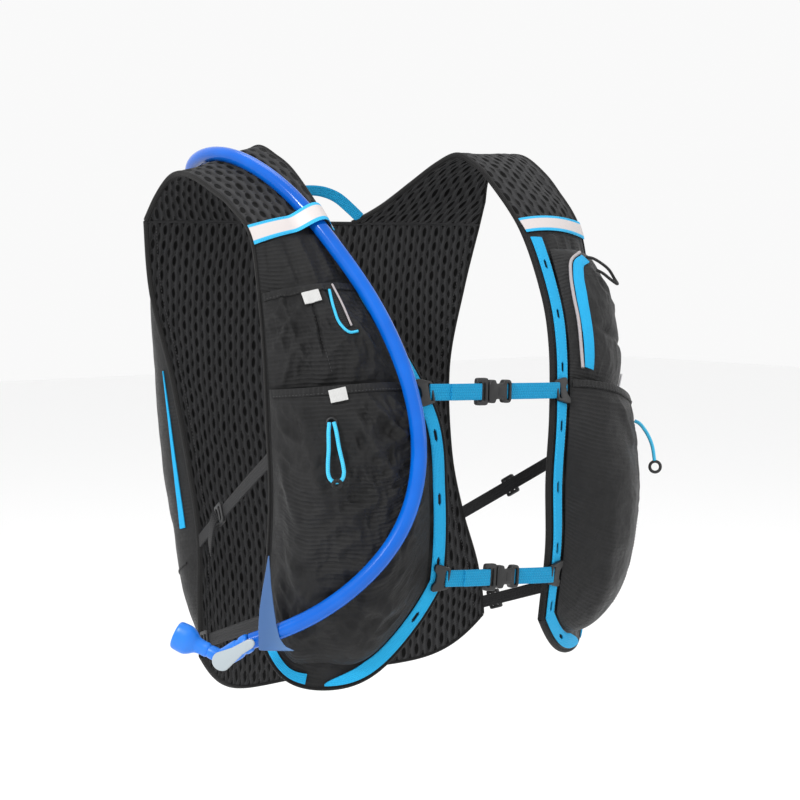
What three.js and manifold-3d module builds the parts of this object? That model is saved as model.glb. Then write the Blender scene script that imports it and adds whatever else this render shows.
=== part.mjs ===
// Running hydration vest: a padded back panel and two shoulder straps that run down into two front
// panels with pockets, a pack on the back, webbing with buckles, and a drinking hose with its valve.
//
// Millimetres. +Z is up, the wearer faces -Y and the wearer's left is +X. The origin is the point
// midway between the undersides of the two shoulder straps, where the vest sits on the shoulders.
//
// Cloth is worked out on two base surfaces, the strip of one side (over the shoulder and down the
// front) and the back panel. Each has a place (u, t) and an outward side, so that pads, pockets and
// tapes are all layers at a height above the same surface.

import * as THREE from "three";
import Module from "manifold-3d";
import { mergeVertices } from "three/addons/utils/BufferGeometryUtils.js";

const wasm = await Module();
wasm.setup();

// Driving dimensions of the whole vest
const torsoHalf = 165;
const chestDepth = 172;
const backDepth = 68;
const frontDrop = 390;
const backDrop = 424;
const yokeDrop = 54;
const strapCrown = 14;
const shoulderLift = { right: 0, left: 24 };

// Cloth, tapes and clearances
const gap = 0.3;
const layerSeat = 0.8;
const padWall = 4;
const clothWall = 1.4;
const tapeWall = 0.8;
const webWall = 1.6;

// Pack on the back
const packDepth = 60;
const packMouth = 27;

// Pocket depths, above the pad
const chestPocketDepth = 7;
const flaskPocketDepth = 17;
const phonePocketDepth = 15;
const leftFlaskDepth = 33;

// Tapes and webbing widths
const ladderTapeWidth = 9.5;
const ladderTapeInset = 2.5;
const ladderSlotLength = 9;
const ladderSlotWidth = 2.6;
const ladderSlotPitch = 46;
const shoulderBandWidth = 14;
const hemTapeWidth = 6;
const chestWebWidth = 12;
const sideWebWidth = 10;
const loopWebWidth = 9;
const hangSeat = 3.6;
const hangRise = 22;
const hangBow = 6;
const zipTapeWidth = 9;
const pipingDiameter = 2.6;

// Buckles
const buckleWall = 4.2;
const buckleHeight = 17;
const buckleLength = 21;
const hookLength = 13;
const hookReach = 9;
const hookWall = 3;
const chestClipLength = 11;
const sideSeat = 1.8;
const sideLockWall = 5;
const hookHeight = 20;
const sideLockLength = 13;
const sideLockHeight = 16;

// Hose and its valve
const hoseDiameter = 11.4;
const portCollarWall = 2;
const portCollarLength = 10;
const valveDiameter = 13.5;
const valveLength = 24;
const leverWall = 2.4;
const leverSeat = 2.2;
const leverLength = 27;
const leverDisc = 7;
const pinRadius = 2.2;
const spoutLength = 12;
const mouthLength = 27;
const mouthFlatness = 0.72;
const finWall = 1.8;
const finCollarLength = 9;

// Cords and small hardware
const bungeeDiameter = 2.8;
const pullCordDiameter = 2.4;
const tabWidth = 12;
const tabHeight = 9;
const slitCordDiameter = 2;
const pullLength = 15;
const pullWidth = 5;
const pullWall = 1.4;
const pullBelly = 0.3;
const ringRadius = 3.6;
const ringWire = 1;
const eyeletRadius = 4;
const eyeletHole = 1.8;
const eyeletWall = 1.6;

// Strip of one side, in sections from the back seam over the shoulder to the front hem. Each edge has
// its distance from the centre line (share of torsoHalf), its reach behind or before the shoulder
// (share of backDepth in the first table, of chestDepth in the second) and its drop below it (share
// of yokeDrop in the first table, of frontDrop in the second). The crown is a share of strapCrown.
// Columns: neckX, neckReach, neckDrop, armX, armReach, armDrop, crown.
const overShoulder = [
  [0.24, 0.81, 1.0, 1.0, 0.62, 1.0, 0.17],
  [0.38, 0.69, 0.76, 0.98, 0.47, 0.68, 0.15],
  [0.5, 0.47, 0.42, 0.955, 0.31, 0.44, 0.12],
  [0.57, 0.2, 0.14, 0.955, 0.06, 0.38, 0.08],
];
const downFront = [
  [0.59, 0.05, 0.0, 0.965, 0.1, 0.062, 0.06],
  [0.59, 0.17, 0.018, 0.96, 0.23, 0.086, 0.1],
  [0.58, 0.3, 0.054, 0.955, 0.36, 0.115, 0.2],
  [0.57, 0.53, 0.152, 0.955, 0.51, 0.17, 0.4],
  [0.51, 0.74, 0.278, 0.955, 0.58, 0.283, 0.6],
  [0.43, 0.88, 0.38, 0.965, 0.63, 0.385, 0.85],
  [0.33, 0.99, 0.506, 0.965, 0.65, 0.506, 1.0],
  [0.3, 1.0, 0.633, 0.95, 0.645, 0.633, 1.0],
  [0.3, 1.0, 0.76, 0.94, 0.61, 0.757, 0.95],
  [0.31, 0.95, 0.886, 0.945, 0.56, 0.88, 0.85],
  [0.34, 0.88, 1.0, 0.94, 0.53, 0.995, 0.75],
];

// Back panel, in sections from the yoke seam to the hem: half width (share of torsoHalf), reach of the
// side edge and of the middle behind the shoulder (shares of backDepth), and drop below the yoke seam
// (share of what is left of backDrop). Columns: half, edgeReach, midReach, drop.
const backSections = [
  [1.0, 0.62, 0.83, 0.0],
  [0.94, 0.75, 0.97, 0.146],
  [0.836, 0.735, 1.0, 0.325],
  [0.79, 0.56, 0.88, 0.518],
  [0.794, 0.353, 0.735, 0.656],
  [0.836, 0.18, 0.66, 0.78],
  [0.85, 0.1, 0.63, 0.89],
  [0.84, 0.12, 0.65, 1.0],
];

// Pack on the back panel, in sections from its mouth to its foot: place down the back panel (share of
// its length), half width (share of the panel's), and depth (share of packDepth). Columns: place,
// half, depth.
const packSections = [
  [0.03, 0.8, 0.0],
  [0.12, 0.9, 0.42],
  [0.26, 0.94, 0.84],
  [0.42, 0.965, 1.0],
  [0.6, 0.95, 0.92],
  [0.76, 0.89, 0.68],
  [0.88, 0.8, 0.42],
  [0.95, 0.72, 0.18],
  [0.97, 0.69, 0.0],
];

// Places along the strip: a share of its length from the back seam to the hem
const bandPlace = 0.5;
const chestMouthPlace = 0.566;
const lowerMouthPlace = 0.678;
const zipTopPlace = 0.53;
const upperHookPlace = { right: 0.684, left: 0.69 };
const lowerHookPlace = { right: 0.874, left: 0.887 };
const upperSidePlace = 0.75;
const lowerSidePlace = 0.925;

const upperSideBack = 0.58;
const lowerSideBack = 0.83;
const hangPlace = 0.03;
const packEdgePlace = 0.035;

// Shares across and down the cloth
const bandHalfShare = 0.014;
const pocketArmEdge = 0.97;
const pocketMargin = 2.4;
const armSideBias = 1.2;
const chestMouthShare = 0.6;
const flaskMouthShare = 0.55;
const chestFootForm = 1.6;
const flaskFootForm = 5;
const trimEnd = 0.6;
const hemTapeStart = 0.72;
const hoseUnderBand = 0.262;
const bridgeHalfShare = 0.29;
const chestClipShare = 0.33;
const finShare = 0.977;

// Places on the pockets' faces, as shares across and down them
const slitEdgePlaces = [[0.327, 0.08], [0.373, 0.287], [0.37, 0.45], [0.32, 0.545], [0.245, 0.54]];
const slitPipingPlaces = [[0.267, 0.02], [0.27, 0.24], [0.274, 0.48]];
const zipPlaces = [[0.4, 0.05], [0.2, 0.11], [0.135, 0.21], [0.107, 0.37], [0.1, 0.6], [0.105, 0.92]];

// Hose, from the mouth of the pack over the right shoulder, under the band and down the front
const hoseRoute = [
  [-84, backDepth + 1, -67], [-86, backDepth + 6, -50], [-96, backDepth + 9, -34],
  [-110, backDepth + 3, -21], [-121, 0.853 * backDepth, -14], [-127, 0.618 * backDepth, -6],
  [-131, 0.324 * backDepth, -3], [-132, 0, -1], [-132, -24, -3], [-131, -44, -10],
  [-128, -56, -15], [-123, -66, -22],
  [-120, -80, -31], [-115, -92, -42], [-112, -103, -54], [-110, -110, -63], [-106, -119, -75],
  [-101, -126, -84], [-94, -139, -101], [-91, -153, -122], [-87, -165, -142], [-84, -174, -161],
  [-83, -181, -178], [-82, -186, -197], [-82, -188, -211], [-83, -189, -226], [-86, -188, -246],
  [-93, -188, -264], [-103, -186, -282], [-118, -178, -298], [-132, -167, -316], [-147, -151, -330],
  [-154, -138, -339], [-167, -126, -345], [-175.4, -119.5, -346.2], [-178, -116, -349],
];

// Ways that the valve's barrel and its spout run on from the hose
const valveDirection = new THREE.Vector3(-0.5, 0.67, -0.54).normalize();
const spoutDirection = new THREE.Vector3(-0.58, 0.7, 0.4).normalize();

// Side that the hose's fin and the valve's lever face, before the wearer's right shoulder
const viewerSide = new THREE.Vector3(-0.6, -0.8, 0.05).normalize();

// Hang loop from end to end: share of the way across, and share of its rise
const hangForm = [[0, 0], [0.08, 0.3], [0.22, 0.75], [0.36, 0.95], [0.5, 1], [0.64, 0.95], [0.78, 0.75],
  [0.92, 0.3], [1, 0]];

// Outline of the fin
const finOutline = [
  [-9.6, -10.4], [17, -10.4], [10, -7], [6.4, -1.6], [3, 10], [0, 34], [-1, 58], [-5.6, 38], [-9, 10],
];

const colours = {
  mesh: [0x2b2b2b, 0.95, 0],
  ripstop: [0x1c1c1e, 0.8, 0],
  binding: [0x111112, 0.85, 0],
  tape: [0x1fa9e6, 0.6, 0],
  webbing: [0x2aa9e0, 0.7, 0],
  blackWeb: [0x161616, 0.8, 0],
  buckle: [0x121212, 0.4, 0],
  reflective: [0xd8d4cf, 0.35, 0],
  tab: [0xe0e0e0, 0.7, 0],
  hose: [0x1768e0, 0.2, 0],
  valve: [0x2b7ff0, 0.3, 0],
  lever: [0xa4afb4, 0.4, 0],
  fin: [0x4a74b0, 0.25, 0],
  metal: [0xb8b8b8, 0.25, 1],
};

const vest = new THREE.Group();

// Adds one named piece, facing out
function add(name, geometry, colour, matrix) {
  const [color, roughness, metalness] = colours[colour];
  const clean = facingOut(geometry, matrix);
  const mesh = new THREE.Mesh(clean, new THREE.MeshStandardMaterial({ color, roughness, metalness }));
  mesh.name = name;
  vest.add(mesh);
}

// Merges shared corners, applies a placing matrix and turns the faces out
function facingOut(geometry, matrix) {
  const bare = geometry.index ? geometry.clone() : geometry;
  bare.deleteAttribute("normal");
  bare.deleteAttribute("uv");
  if (matrix) bare.applyMatrix4(matrix);
  const merged = mergeVertices(bare, 1e-4);
  if (signedVolume(merged) < 0) {
    const index = merged.index.array;
    for (let i = 0; i < index.length; i += 3) {
      const kept = index[i + 1];
      index[i + 1] = index[i + 2];
      index[i + 2] = kept;
    }
  }
  return merged;
}

function signedVolume(geometry) {
  const p = geometry.attributes.position;
  const index = geometry.index.array;
  const corner = [new THREE.Vector3(), new THREE.Vector3(), new THREE.Vector3()];
  let volume = 0;
  for (let i = 0; i < index.length; i += 3) {
    corner.forEach((c, k) => c.fromBufferAttribute(p, index[i + k]));
    volume += corner[0].dot(corner[1].clone().cross(corner[2])) / 6;
  }
  return volume;
}

// Solid of manifold-3d from a closed geometry, and back
function toSolid(geometry) {
  const g = facingOut(geometry);
  return new wasm.Manifold(new wasm.Mesh({
    numProp: 3,
    vertProperties: Float32Array.from(g.attributes.position.array),
    triVerts: Uint32Array.from(g.index.array),
  }));
}

function fromSolid(solid) {
  const mesh = solid.getMesh();
  const g = new THREE.BufferGeometry();
  g.setAttribute("position", new THREE.BufferAttribute(Float32Array.from(mesh.vertProperties), 3));
  g.setIndex(new THREE.BufferAttribute(Uint32Array.from(mesh.triVerts), 1));
  return g;
}

// Smooth value of one column of a table at t, from 0 at the first row to 1 at the last
function along(rows, column, t) {
  const place = Math.min(Math.max(t, 0), 1) * (rows.length - 1);
  const i = Math.min(Math.floor(place), rows.length - 2);
  const f = place - i;
  const at = (k) => rows[Math.min(Math.max(k, 0), rows.length - 1)][column];
  const [a, b, c, d] = [at(i - 1), at(i), at(i + 1), at(i + 2)];
  return b + 0.5 * f * (c - a + f * (2 * a - 5 * b + 4 * c - d + f * (3 * (b - c) + d - a)));
}

const stripRows = [
  ...overShoulder.map(([nx, nr, nd, ax, ar, ad, c]) => ({
    neckX: nx * torsoHalf, neckY: nr * backDepth, neckZ: -nd * yokeDrop,
    armX: ax * torsoHalf, armY: ar * backDepth, armZ: -ad * yokeDrop, crown: c * strapCrown,
  })),
  ...downFront.map(([nx, nr, nd, ax, ar, ad, c]) => ({
    neckX: nx * torsoHalf, neckY: -nr * chestDepth, neckZ: -nd * frontDrop,
    armX: ax * torsoHalf, armY: -ar * chestDepth, armZ: -ad * frontDrop, crown: c * strapCrown,
  })),
];

// The strip's straight section from the neck side (u = 0) to the arm side (u = 1), on the left
function stripChord(u, t, lift) {
  const neck = new THREE.Vector3(...["neckX", "neckY", "neckZ"].map((c) => along(stripRows, c, t)));
  const arm = new THREE.Vector3(...["armX", "armY", "armZ"].map((c) => along(stripRows, c, t)));
  arm.z += lift * Math.max(0, Math.sin(Math.PI * (t - 0.08) / 0.45)) * (t < 0.53 ? 1 : 0);
  return neck.lerp(arm, u);
}

// Unit vector out of a surface at (u, t), from points a small step away
function outward(point, u, t, sign) {
  const step = 1e-3;
  const across = point(u + step, t).sub(point(u - step, t));
  const down = point(u, t + step).sub(point(u, t - step));
  return across.cross(down).multiplyScalar(sign).normalize();
}

// Base surface of one side: side is 1 for the wearer's left and -1 for the right
function strip(side) {
  const lift = side > 0 ? shoulderLift.left : shoulderLift.right;
  const flat = (u, t) => stripChord(u, t, lift);
  const crowned = (u, t) => {
    const rise = along(stripRows, "crown", t) * 4 * u * (1 - u);
    return flat(u, t).addScaledVector(outward(flat, u, t, -1), rise);
  };
  return {
    sign: -side,
    point: (u, t) => crowned(u, t).multiply(new THREE.Vector3(side, 1, 1)),
  };
}

const backRows = backSections.map(([half, edge, mid, drop]) => ({
  half: half * torsoHalf, edge: edge * backDepth, mid: mid * backDepth,
  z: -yokeDrop - drop * (backDrop - yokeDrop),
}));
const backRoundness = 2.2;

// Base surface of the back panel, u from the wearer's right (0) to the left (1)
const back = {
  sign: 1,
  point(u, v) {
    const side = 2 * u - 1;
    const mid = along(backRows, "mid", v);
    const fall = (mid - along(backRows, "edge", v)) * Math.abs(side) ** backRoundness;
    return new THREE.Vector3(side * along(backRows, "half", v), mid - fall, along(backRows, "z", v));
  },
};

const sides = { right: strip(-1), left: strip(1) };

// Point at a height above a base surface
function above(surface, u, t, height) {
  const normal = outward(surface.point, u, t, surface.sign);
  return surface.point(u, t).addScaledVector(normal, height);
}

// Closed sheet over a grid: map turns (a, b) in 0..1 into (u, t), and low and high give the heights of
// its two faces above the surface there
function sheet(surface, map, across, down, low, high) {
  const grid = (height) => (a, b) => {
    const [u, t] = map(a, b);
    return above(surface, u, t, height(a, b));
  };
  return closedSheet(grid(low), grid(high), across, down);
}

// Closed solid between two grids of points with the same places, joined round their rim
function closedSheet(lower, upper, across, down) {
  const points = [];
  const faces = [];
  const row = across + 1;
  for (const face of [lower, upper]) {
    for (let j = 0; j <= down; j++) {
      for (let i = 0; i <= across; i++) points.push(...face(i / across, j / down).toArray());
    }
  }
  const upperStart = row * (down + 1);
  const quad = (a, b, c, d) => faces.push(a, b, c, a, c, d);
  for (let j = 0; j < down; j++) {
    for (let i = 0; i < across; i++) {
      const k = j * row + i;
      quad(k, k + 1, k + row + 1, k + row);
      quad(upperStart + k, upperStart + k + row, upperStart + k + row + 1, upperStart + k + 1);
    }
  }
  const rim = [];
  for (let i = 0; i < across; i++) rim.push(i);
  for (let j = 0; j < down; j++) rim.push(j * row + across);
  for (let i = across; i > 0; i--) rim.push(down * row + i);
  for (let j = down; j > 0; j--) rim.push(j * row);
  rim.forEach((k, i) => {
    const next = rim[(i + 1) % rim.length];
    quad(k, upperStart + k, upperStart + next, next);
  });
  const g = new THREE.BufferGeometry();
  g.setAttribute("position", new THREE.BufferAttribute(new Float32Array(points), 3));
  g.setIndex(faces);
  return g;
}

// Bulged cloth over a base surface: bulge gives its height, and its wall goes out from there along the
// bulged form's own outward side
function bulged(surface, map, across, down, bulge, wall) {
  const point = (a, b) => {
    const [u, t] = map(a, b);
    return above(surface, u, t, bulge(a, b));
  };
  const step = 2e-3;
  const clampedNormal = (a, b) => {
    const [a0, a1] = [Math.max(a - step, 0), Math.min(a + step, 1)];
    const [b0, b1] = [Math.max(b - step, 0), Math.min(b + step, 1)];
    const acrossStep = point(a1, b).sub(point(a0, b));
    const downStep = point(a, b1).sub(point(a, b0));
    return acrossStep.cross(downStep).multiplyScalar(surface.sign).normalize();
  };
  return closedSheet(point, (a, b) => point(a, b).addScaledVector(clampedNormal(a, b), wall), across, down);
}

// Tape laid along a path on a base surface. The path gives (u, t) for q in 0..1, inner and outer are
// the distances of the tape's edges from it, and the tape lies at a height given along q.
function tape(surface, path, inner, outer, height, wall, steps, acrossSteps = 2) {
  const lay = (extra) => (a, b) => {
    const [u, t] = offsetPlace(surface, path, b, inner + (outer - inner) * a);
    return above(surface, u, t, height(a, b) + extra);
  };
  return closedSheet(lay(0), lay(wall), acrossSteps, steps);
}

// Place (u, t) that lies a distance to one side of a path on the surface
function offsetPlace(surface, path, q, distance) {
  const step = 1e-3;
  const [u, t] = path(q);
  const [u0, t0] = path(Math.max(q - step, 0));
  const [u1, t1] = path(Math.min(q + step, 1));
  const du = surface.point(u + step, t).sub(surface.point(u - step, t)).divideScalar(2 * step);
  const dt = surface.point(u, t + step).sub(surface.point(u, t - step)).divideScalar(2 * step);
  const run = surface.point(u1, t1).sub(surface.point(u0, t0)).normalize();
  const aside = run.cross(outward(surface.point, u, t, surface.sign)).multiplyScalar(distance * surface.sign);
  const [uu, ut, tt] = [du.dot(du), du.dot(dt), dt.dot(dt)];
  const [au, at] = [aside.dot(du), aside.dot(dt)];
  const scale = uu * tt - ut * ut;
  return [u + (au * tt - at * ut) / scale, t + (at * uu - au * ut) / scale];
}

// Strip of webbing along a smooth curve. widthAt gives the way its width points at a share of its run.
function webbing(points, widthAt, width, wall, steps) {
  const curve = new THREE.CatmullRomCurve3(points);
  const side = (height) => (a, b) => {
    const run = curve.getTangent(b);
    const out = widthAt(b).cross(run).normalize();
    const flatWidth = run.clone().cross(out).normalize();
    return curve.getPoint(b).addScaledVector(flatWidth, (a - 0.5) * width).addScaledVector(out, height);
  };
  return closedSheet(side(-wall / 2), side(wall / 2), 1, steps);
}

// Round cord or tube along a smooth curve
function cord(points, diameter, sidesRound, steps, closed = false) {
  const curve = new THREE.CatmullRomCurve3(points, closed);
  const section = new THREE.Shape();
  for (let k = 0; k < sidesRound; k++) {
    const angle = 2 * Math.PI * k / sidesRound;
    const [x, y] = [Math.cos(angle) * diameter / 2, Math.sin(angle) * diameter / 2];
    if (k === 0) section.moveTo(x, y);
    else section.lineTo(x, y);
  }
  section.closePath();
  return new THREE.ExtrudeGeometry(section, { steps, extrudePath: curve, bevelEnabled: false });
}

// Plate with an outline and holes, as thick as wall and centred on its own plane
function plate(outline, holes, wall) {
  const shape = new THREE.Shape(outline.map(([x, y]) => new THREE.Vector2(x, y)));
  shape.holes = holes.map((hole) => new THREE.Path(hole.map(([x, y]) => new THREE.Vector2(x, y))));
  const g = new THREE.ExtrudeGeometry(shape, { depth: wall, bevelEnabled: false, curveSegments: 4 });
  return g.translate(0, 0, -wall / 2);
}

function rectangle(x0, y0, x1, y1) {
  return [[x0, y0], [x1, y0], [x1, y1], [x0, y1]];
}

// Matrix that puts a piece's own x and z directions and its origin in place
function placing(origin, xDirection, zDirection) {
  const z = zDirection.clone().normalize();
  const y = z.clone().cross(xDirection).normalize();
  const x = y.clone().cross(z);
  return new THREE.Matrix4().makeBasis(x, y, z).setPosition(origin);
}

// Length of the strip, to turn a clearance along it into a share
const stripLength = (() => {
  let length = 0;
  for (let i = 0; i < 60; i++) {
    length += sides.right.point(0.5, i / 60).distanceTo(sides.right.point(0.5, (i + 1) / 60));
  }
  return length;
})();
const seam = 0.5 * gap / stripLength;

// Lower end of a front panel at each place across it: both corners are rounded, the front one more
const frontCornerRise = { right: 0.12, left: 0.06 };
const sideCornerRise = 0.06;
function hemPlace(name, a) {
  return 1 - frontCornerRise[name] * (1 - a) ** 4 - sideCornerRise * a ** 7;
}

// Padded pieces
function backPanel() {
  const cornerRise = 0.135;
  const map = (a, b) => {
    const bend = 0.5 - 0.5 * Math.cos(Math.PI * a);
    const u = 0.5 * a + 0.5 * bend;
    return [u, b * (1 - cornerRise * Math.abs(2 * u - 1) ** 4.5)];
  };
  add("back_panel", sheet(back, map, 14, 14, () => 0, () => padWall), "mesh");
}

function shoulderStrap(name, surface) {
  const map = (a, b) => [a, 2 * seam + b * (bandPlace - 3 * seam)];
  add(`shoulder_strap_${name}`, sheet(surface, map, 5, 14, () => 0, () => padWall), "mesh");
}

function frontPanel(name, surface) {
  const map = (a, b) => {
    const start = bandPlace + seam;
    return [a, start + b * (hemPlace(name, a) - start)];
  };
  add(`front_panel_${name}`, sheet(surface, map, 8, 18, () => 0, () => padWall), "ripstop");
}

// Pack, open at its mouth, standing on the back panel
const packRows = packSections.map(([place, half, depth]) => ({ place, half, depth: depth * packDepth }));
const packSquareness = 2.9;
function packPlace(a, b) {
  const turn = Math.PI * a;
  const swing = Math.sign(Math.cos(turn)) * Math.abs(Math.cos(turn)) ** (2 / packSquareness);
  return [0.5 - 0.5 * swing * along(packRows, "half", b), along(packRows, "place", b)];
}

function packHeight(a, b) {
  const rise = Math.abs(Math.sin(Math.PI * a)) ** (2 / packSquareness);
  const mouth = packMouth * (1 - Math.min(1, b / 0.4)) ** 2;
  return padWall + layerSeat + (mouth + Math.max(0, along(packRows, "depth", b))) * rise;
}

function pack() {
  add("pack_shell", bulged(back, packPlace, 16, 14, packHeight, clothWall), "ripstop");
}

// Blue edge down each side of the pack
function packEdge(name, start) {
  const surface = {
    sign: back.sign,
    point: (a, b) => above(back, ...packPlace(a, b), packHeight(a, b)),
  };
  const path = (q) => [start, 0.27 + 0.17 * q];
  const height = () => clothWall + layerSeat;
  add(`pack_edge_${name}`, tape(surface, path, -2.5, 2.5, height, tapeWall, 12, 1), "tape");
}

// Width of a strip at t
function stripWidth(surface, t) {
  return surface.point(0, t).distanceTo(surface.point(1, t));
}

// Place down a panel, at each place across it, that is a distance above its lower end
function footLine(side, distance) {
  const samples = 24;
  const hem = (q) => [q, hemPlace(side, q)];
  const places = [];
  for (let k = 0; k <= samples; k++) places.push(offsetPlace(sides[side], hem, k / samples, distance));
  return (u) => {
    const next = places.findIndex((place) => place[0] > u);
    if (next === 0) return places[0][1];
    if (next < 0) return places[samples][1];
    const [[u0, t0], [u1, t1]] = [places[next - 1], places[next]];
    return t0 + (t1 - t0) * (u - u0) / (u1 - u0);
  };
}

// Grid of a pocket, which stays clear of the blue tape on the panel's neck edge and round its foot
function pocketMap(side, top, foot) {
  const clear = ladderTapeInset + ladderTapeWidth + pocketMargin;
  const lowerEnd = footLine(side, clear);
  const start = top + seam;
  const across = (a, t) => {
    const neckEdge = clear / stripWidth(sides[side], t);
    return neckEdge + (pocketArmEdge - neckEdge) * a;
  };
  return (a, b) => {
    const down = (u) => start + (Math.min(foot - seam, lowerEnd(u)) - start) * b;
    const t = down(across(a, down(a)));
    return [across(a, t), t];
  };
}

// Pocket sewn to a front panel on three sides and open at its top. It returns its outer face as a base
// surface, for what is sewn on it.
function openPocket(name, side, top, foot, depth, mouthShare, footForm) {
  const surface = sides[side];
  const map = pocketMap(side, top, foot);
  const bulge = (a, b) => {
    const round = 1 - Math.abs(2 * Math.max(a, 0) ** armSideBias - 1) ** 3;
    const swell = mouthShare + (1 - mouthShare) * Math.sin(Math.PI / 2 * Math.min(1, b / 0.5));
    return padWall + layerSeat + depth * round * swell * Math.sqrt(Math.max(0, 1 - b ** footForm));
  };
  add(name, bulged(surface, map, 8, 10, bulge, clothWall), "ripstop");
  return outerFace(surface, map, bulge);
}

// Zipped pocket, sewn to a front panel all round
function zipPocket(name, side, top, foot, depth) {
  const surface = sides[side];
  const map = pocketMap(side, top, foot);
  const bulge = (a, b) => {
    const acrossRound = 1 - Math.abs(2 * Math.max(a, 0) ** armSideBias - 1) ** 3;
    const round = acrossRound * Math.sqrt(Math.max(0, 1 - Math.abs(2 * b - 1) ** 3));
    return padWall + layerSeat + depth * round;
  };
  add(name, bulged(surface, map, 8, 8, bulge, clothWall), "ripstop");
  return outerFace(surface, map, bulge);
}

// Outer face of a bulged piece as a base surface of its own
function outerFace(surface, map, bulge) {
  const inside = (a, b) => above(surface, ...map(a, b), bulge(a, b));
  return {
    sign: surface.sign,
    point: (a, b) => inside(a, b).addScaledVector(outward(inside, a, b, surface.sign), clothWall),
  };
}

// Straight path between two places on a surface
function straight([u0, t0], [u1, t1]) {
  return (q) => [u0 + (u1 - u0) * q, t0 + (t1 - t0) * q];
}

// Blue tape with slots that edges a front panel: down its neck side, then round its front corner
function ladderTrim(name) {
  const surface = sides[name];
  const start = bandPlace + bandHalfShare + seam;
  const corner = hemPlace(name, 0);
  const turn = 0.72;
  const path = (q) => {
    if (q < turn) return [0, start + (corner - start) * q / turn];
    const a = trimEnd * (q - turn) / (1 - turn);
    return [a, hemPlace(name, a)];
  };
  const height = () => padWall + layerSeat;
  const inner = ladderTapeInset;
  const outer = ladderTapeInset + ladderTapeWidth;
  let solid = toSolid(tape(surface, path, inner, outer, height, tapeWall, 24, 1));
  const firstSlot = bandPlace + ladderSlotPitch * 0.75 / stripLength;
  const length = surface.point(0, start).distanceTo(surface.point(0, corner));
  const count = Math.floor(length / ladderSlotPitch);
  for (let k = 0; k < count; k++) {
    const q = turn * (firstSlot - start + k * ladderSlotPitch / stripLength) / (corner - start);
    const hole = ladderSlot(surface, path, q, (inner + outer) / 2);
    solid = solid.subtract(hole);
  }
  add(`ladder_trim_${name}`, fromSolid(solid), "tape");
}

// Cutter for one slot, standing across the tape
function ladderSlot(surface, path, q, distance) {
  const step = 0.01;
  const place = (k) => above(surface, ...offsetPlace(surface, path, k, distance), padWall + layerSeat);
  const origin = place(q);
  const run = place(q + step).sub(place(q - step)).normalize();
  const normal = outward(surface.point, ...offsetPlace(surface, path, q, distance), surface.sign);
  const box = new THREE.BoxGeometry(ladderSlotLength, ladderSlotWidth, 6 * tapeWall);
  return toSolid(box.applyMatrix4(placing(origin, run, normal)));
}

// Blue tape round the outer lower corner of a front panel
function hemTape(name) {
  const path = (q) => {
    const a = hemTapeStart + (pocketArmEdge - hemTapeStart) * q;
    return [a, hemPlace(name, a)];
  };
  const height = () => padWall + layerSeat;
  const inner = ladderTapeInset;
  const solid = tape(sides[name], path, inner, inner + hemTapeWidth, height, tapeWall, 10, 1);
  add(`hem_tape_${name}`, solid, "tape");
}

// Band across a shoulder strap. On the right it bridges the hose.
function shoulderBand(name, bridge) {
  const path = straight([0.01, bandPlace], [1, bandPlace]);
  const height = (a, b) => {
    const away = Math.abs(b - hoseUnderBand) / bridgeHalfShare;
    const rise = away < 1 ? Math.cos(Math.PI / 2 * away) ** 2 : 0;
    return padWall + layerSeat + bridge * rise;
  };
  const half = shoulderBandWidth / 2;
  const steps = bridge > 0 ? 28 : 8;
  add(`shoulder_band_${name}`, tape(sides[name], path, -half, half, height, tapeWall, steps, 2), "tape");
}

// One chest strap: hook, webbing, ladder clip, socket, webbing and hook, from right to left
function chestStrap(level, place) {
  const trimMiddle = ladderTapeInset + ladderTapeWidth / 2;
  const seat = padWall + layerSeat + tapeWall + gap + hookWall / 2;
  const ends = ["right", "left"].map((side) => {
    const surface = sides[side];
    const at = offsetPlace(surface, (q) => [0, place[side] + 0.02 * (q - 0.5)], 0.5, trimMiddle);
    return {
      side,
      origin: above(surface, ...at, seat),
      normal: outward(surface.point, ...at, surface.sign),
    };
  });
  const span = ends[1].origin.clone().sub(ends[0].origin).normalize();
  const up = new THREE.Vector3(0, 0, 1);
  ends.forEach((end, k) => {
    const toCentre = span.clone().multiplyScalar(k === 0 ? 1 : -1);
    add(`chest_hook_${level}_${end.side}`, hookPlate(), "buckle", placing(end.origin, toCentre, end.normal));
    end.tip = end.origin.clone().addScaledVector(flatten(toCentre, end.normal), hookReach + 2 * gap);
  });
  const whole = ends[1].tip.clone().sub(ends[0].tip);
  const length = whole.length();
  const direction = whole.clone().normalize();
  const facing = direction.clone().cross(up).normalize();
  const at = (distance) => ends[0].tip.clone().addScaledVector(direction, distance);
  const clipStart = chestClipShare * length;
  const clipEnd = clipStart + chestClipLength;
  const socketEnd = clipEnd + gap + buckleLength;
  const box = (from, to) => placing(at((from + to) / 2), direction, facing);
  add(`chest_clip_${level}`, clipPlate(), "buckle", box(clipStart, clipEnd));
  add(`chest_socket_${level}`, socketPlate(), "buckle", box(clipEnd + gap, socketEnd));
  const web = (from, to, wall) => webbing([at(from), at((from + to) / 2), at(to)], () => up.clone(), chestWebWidth, wall, 2);
  add(`chest_web_${level}_right`, web(0, clipStart - gap, 2 * webWall), "webbing");
  add(`chest_web_${level}_left`, web(socketEnd + gap, length, webWall), "webbing");
}

// Part of a direction that lies in the plane across a normal
function flatten(direction, normal) {
  return direction.clone().addScaledVector(normal, -direction.dot(normal)).normalize();
}

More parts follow.
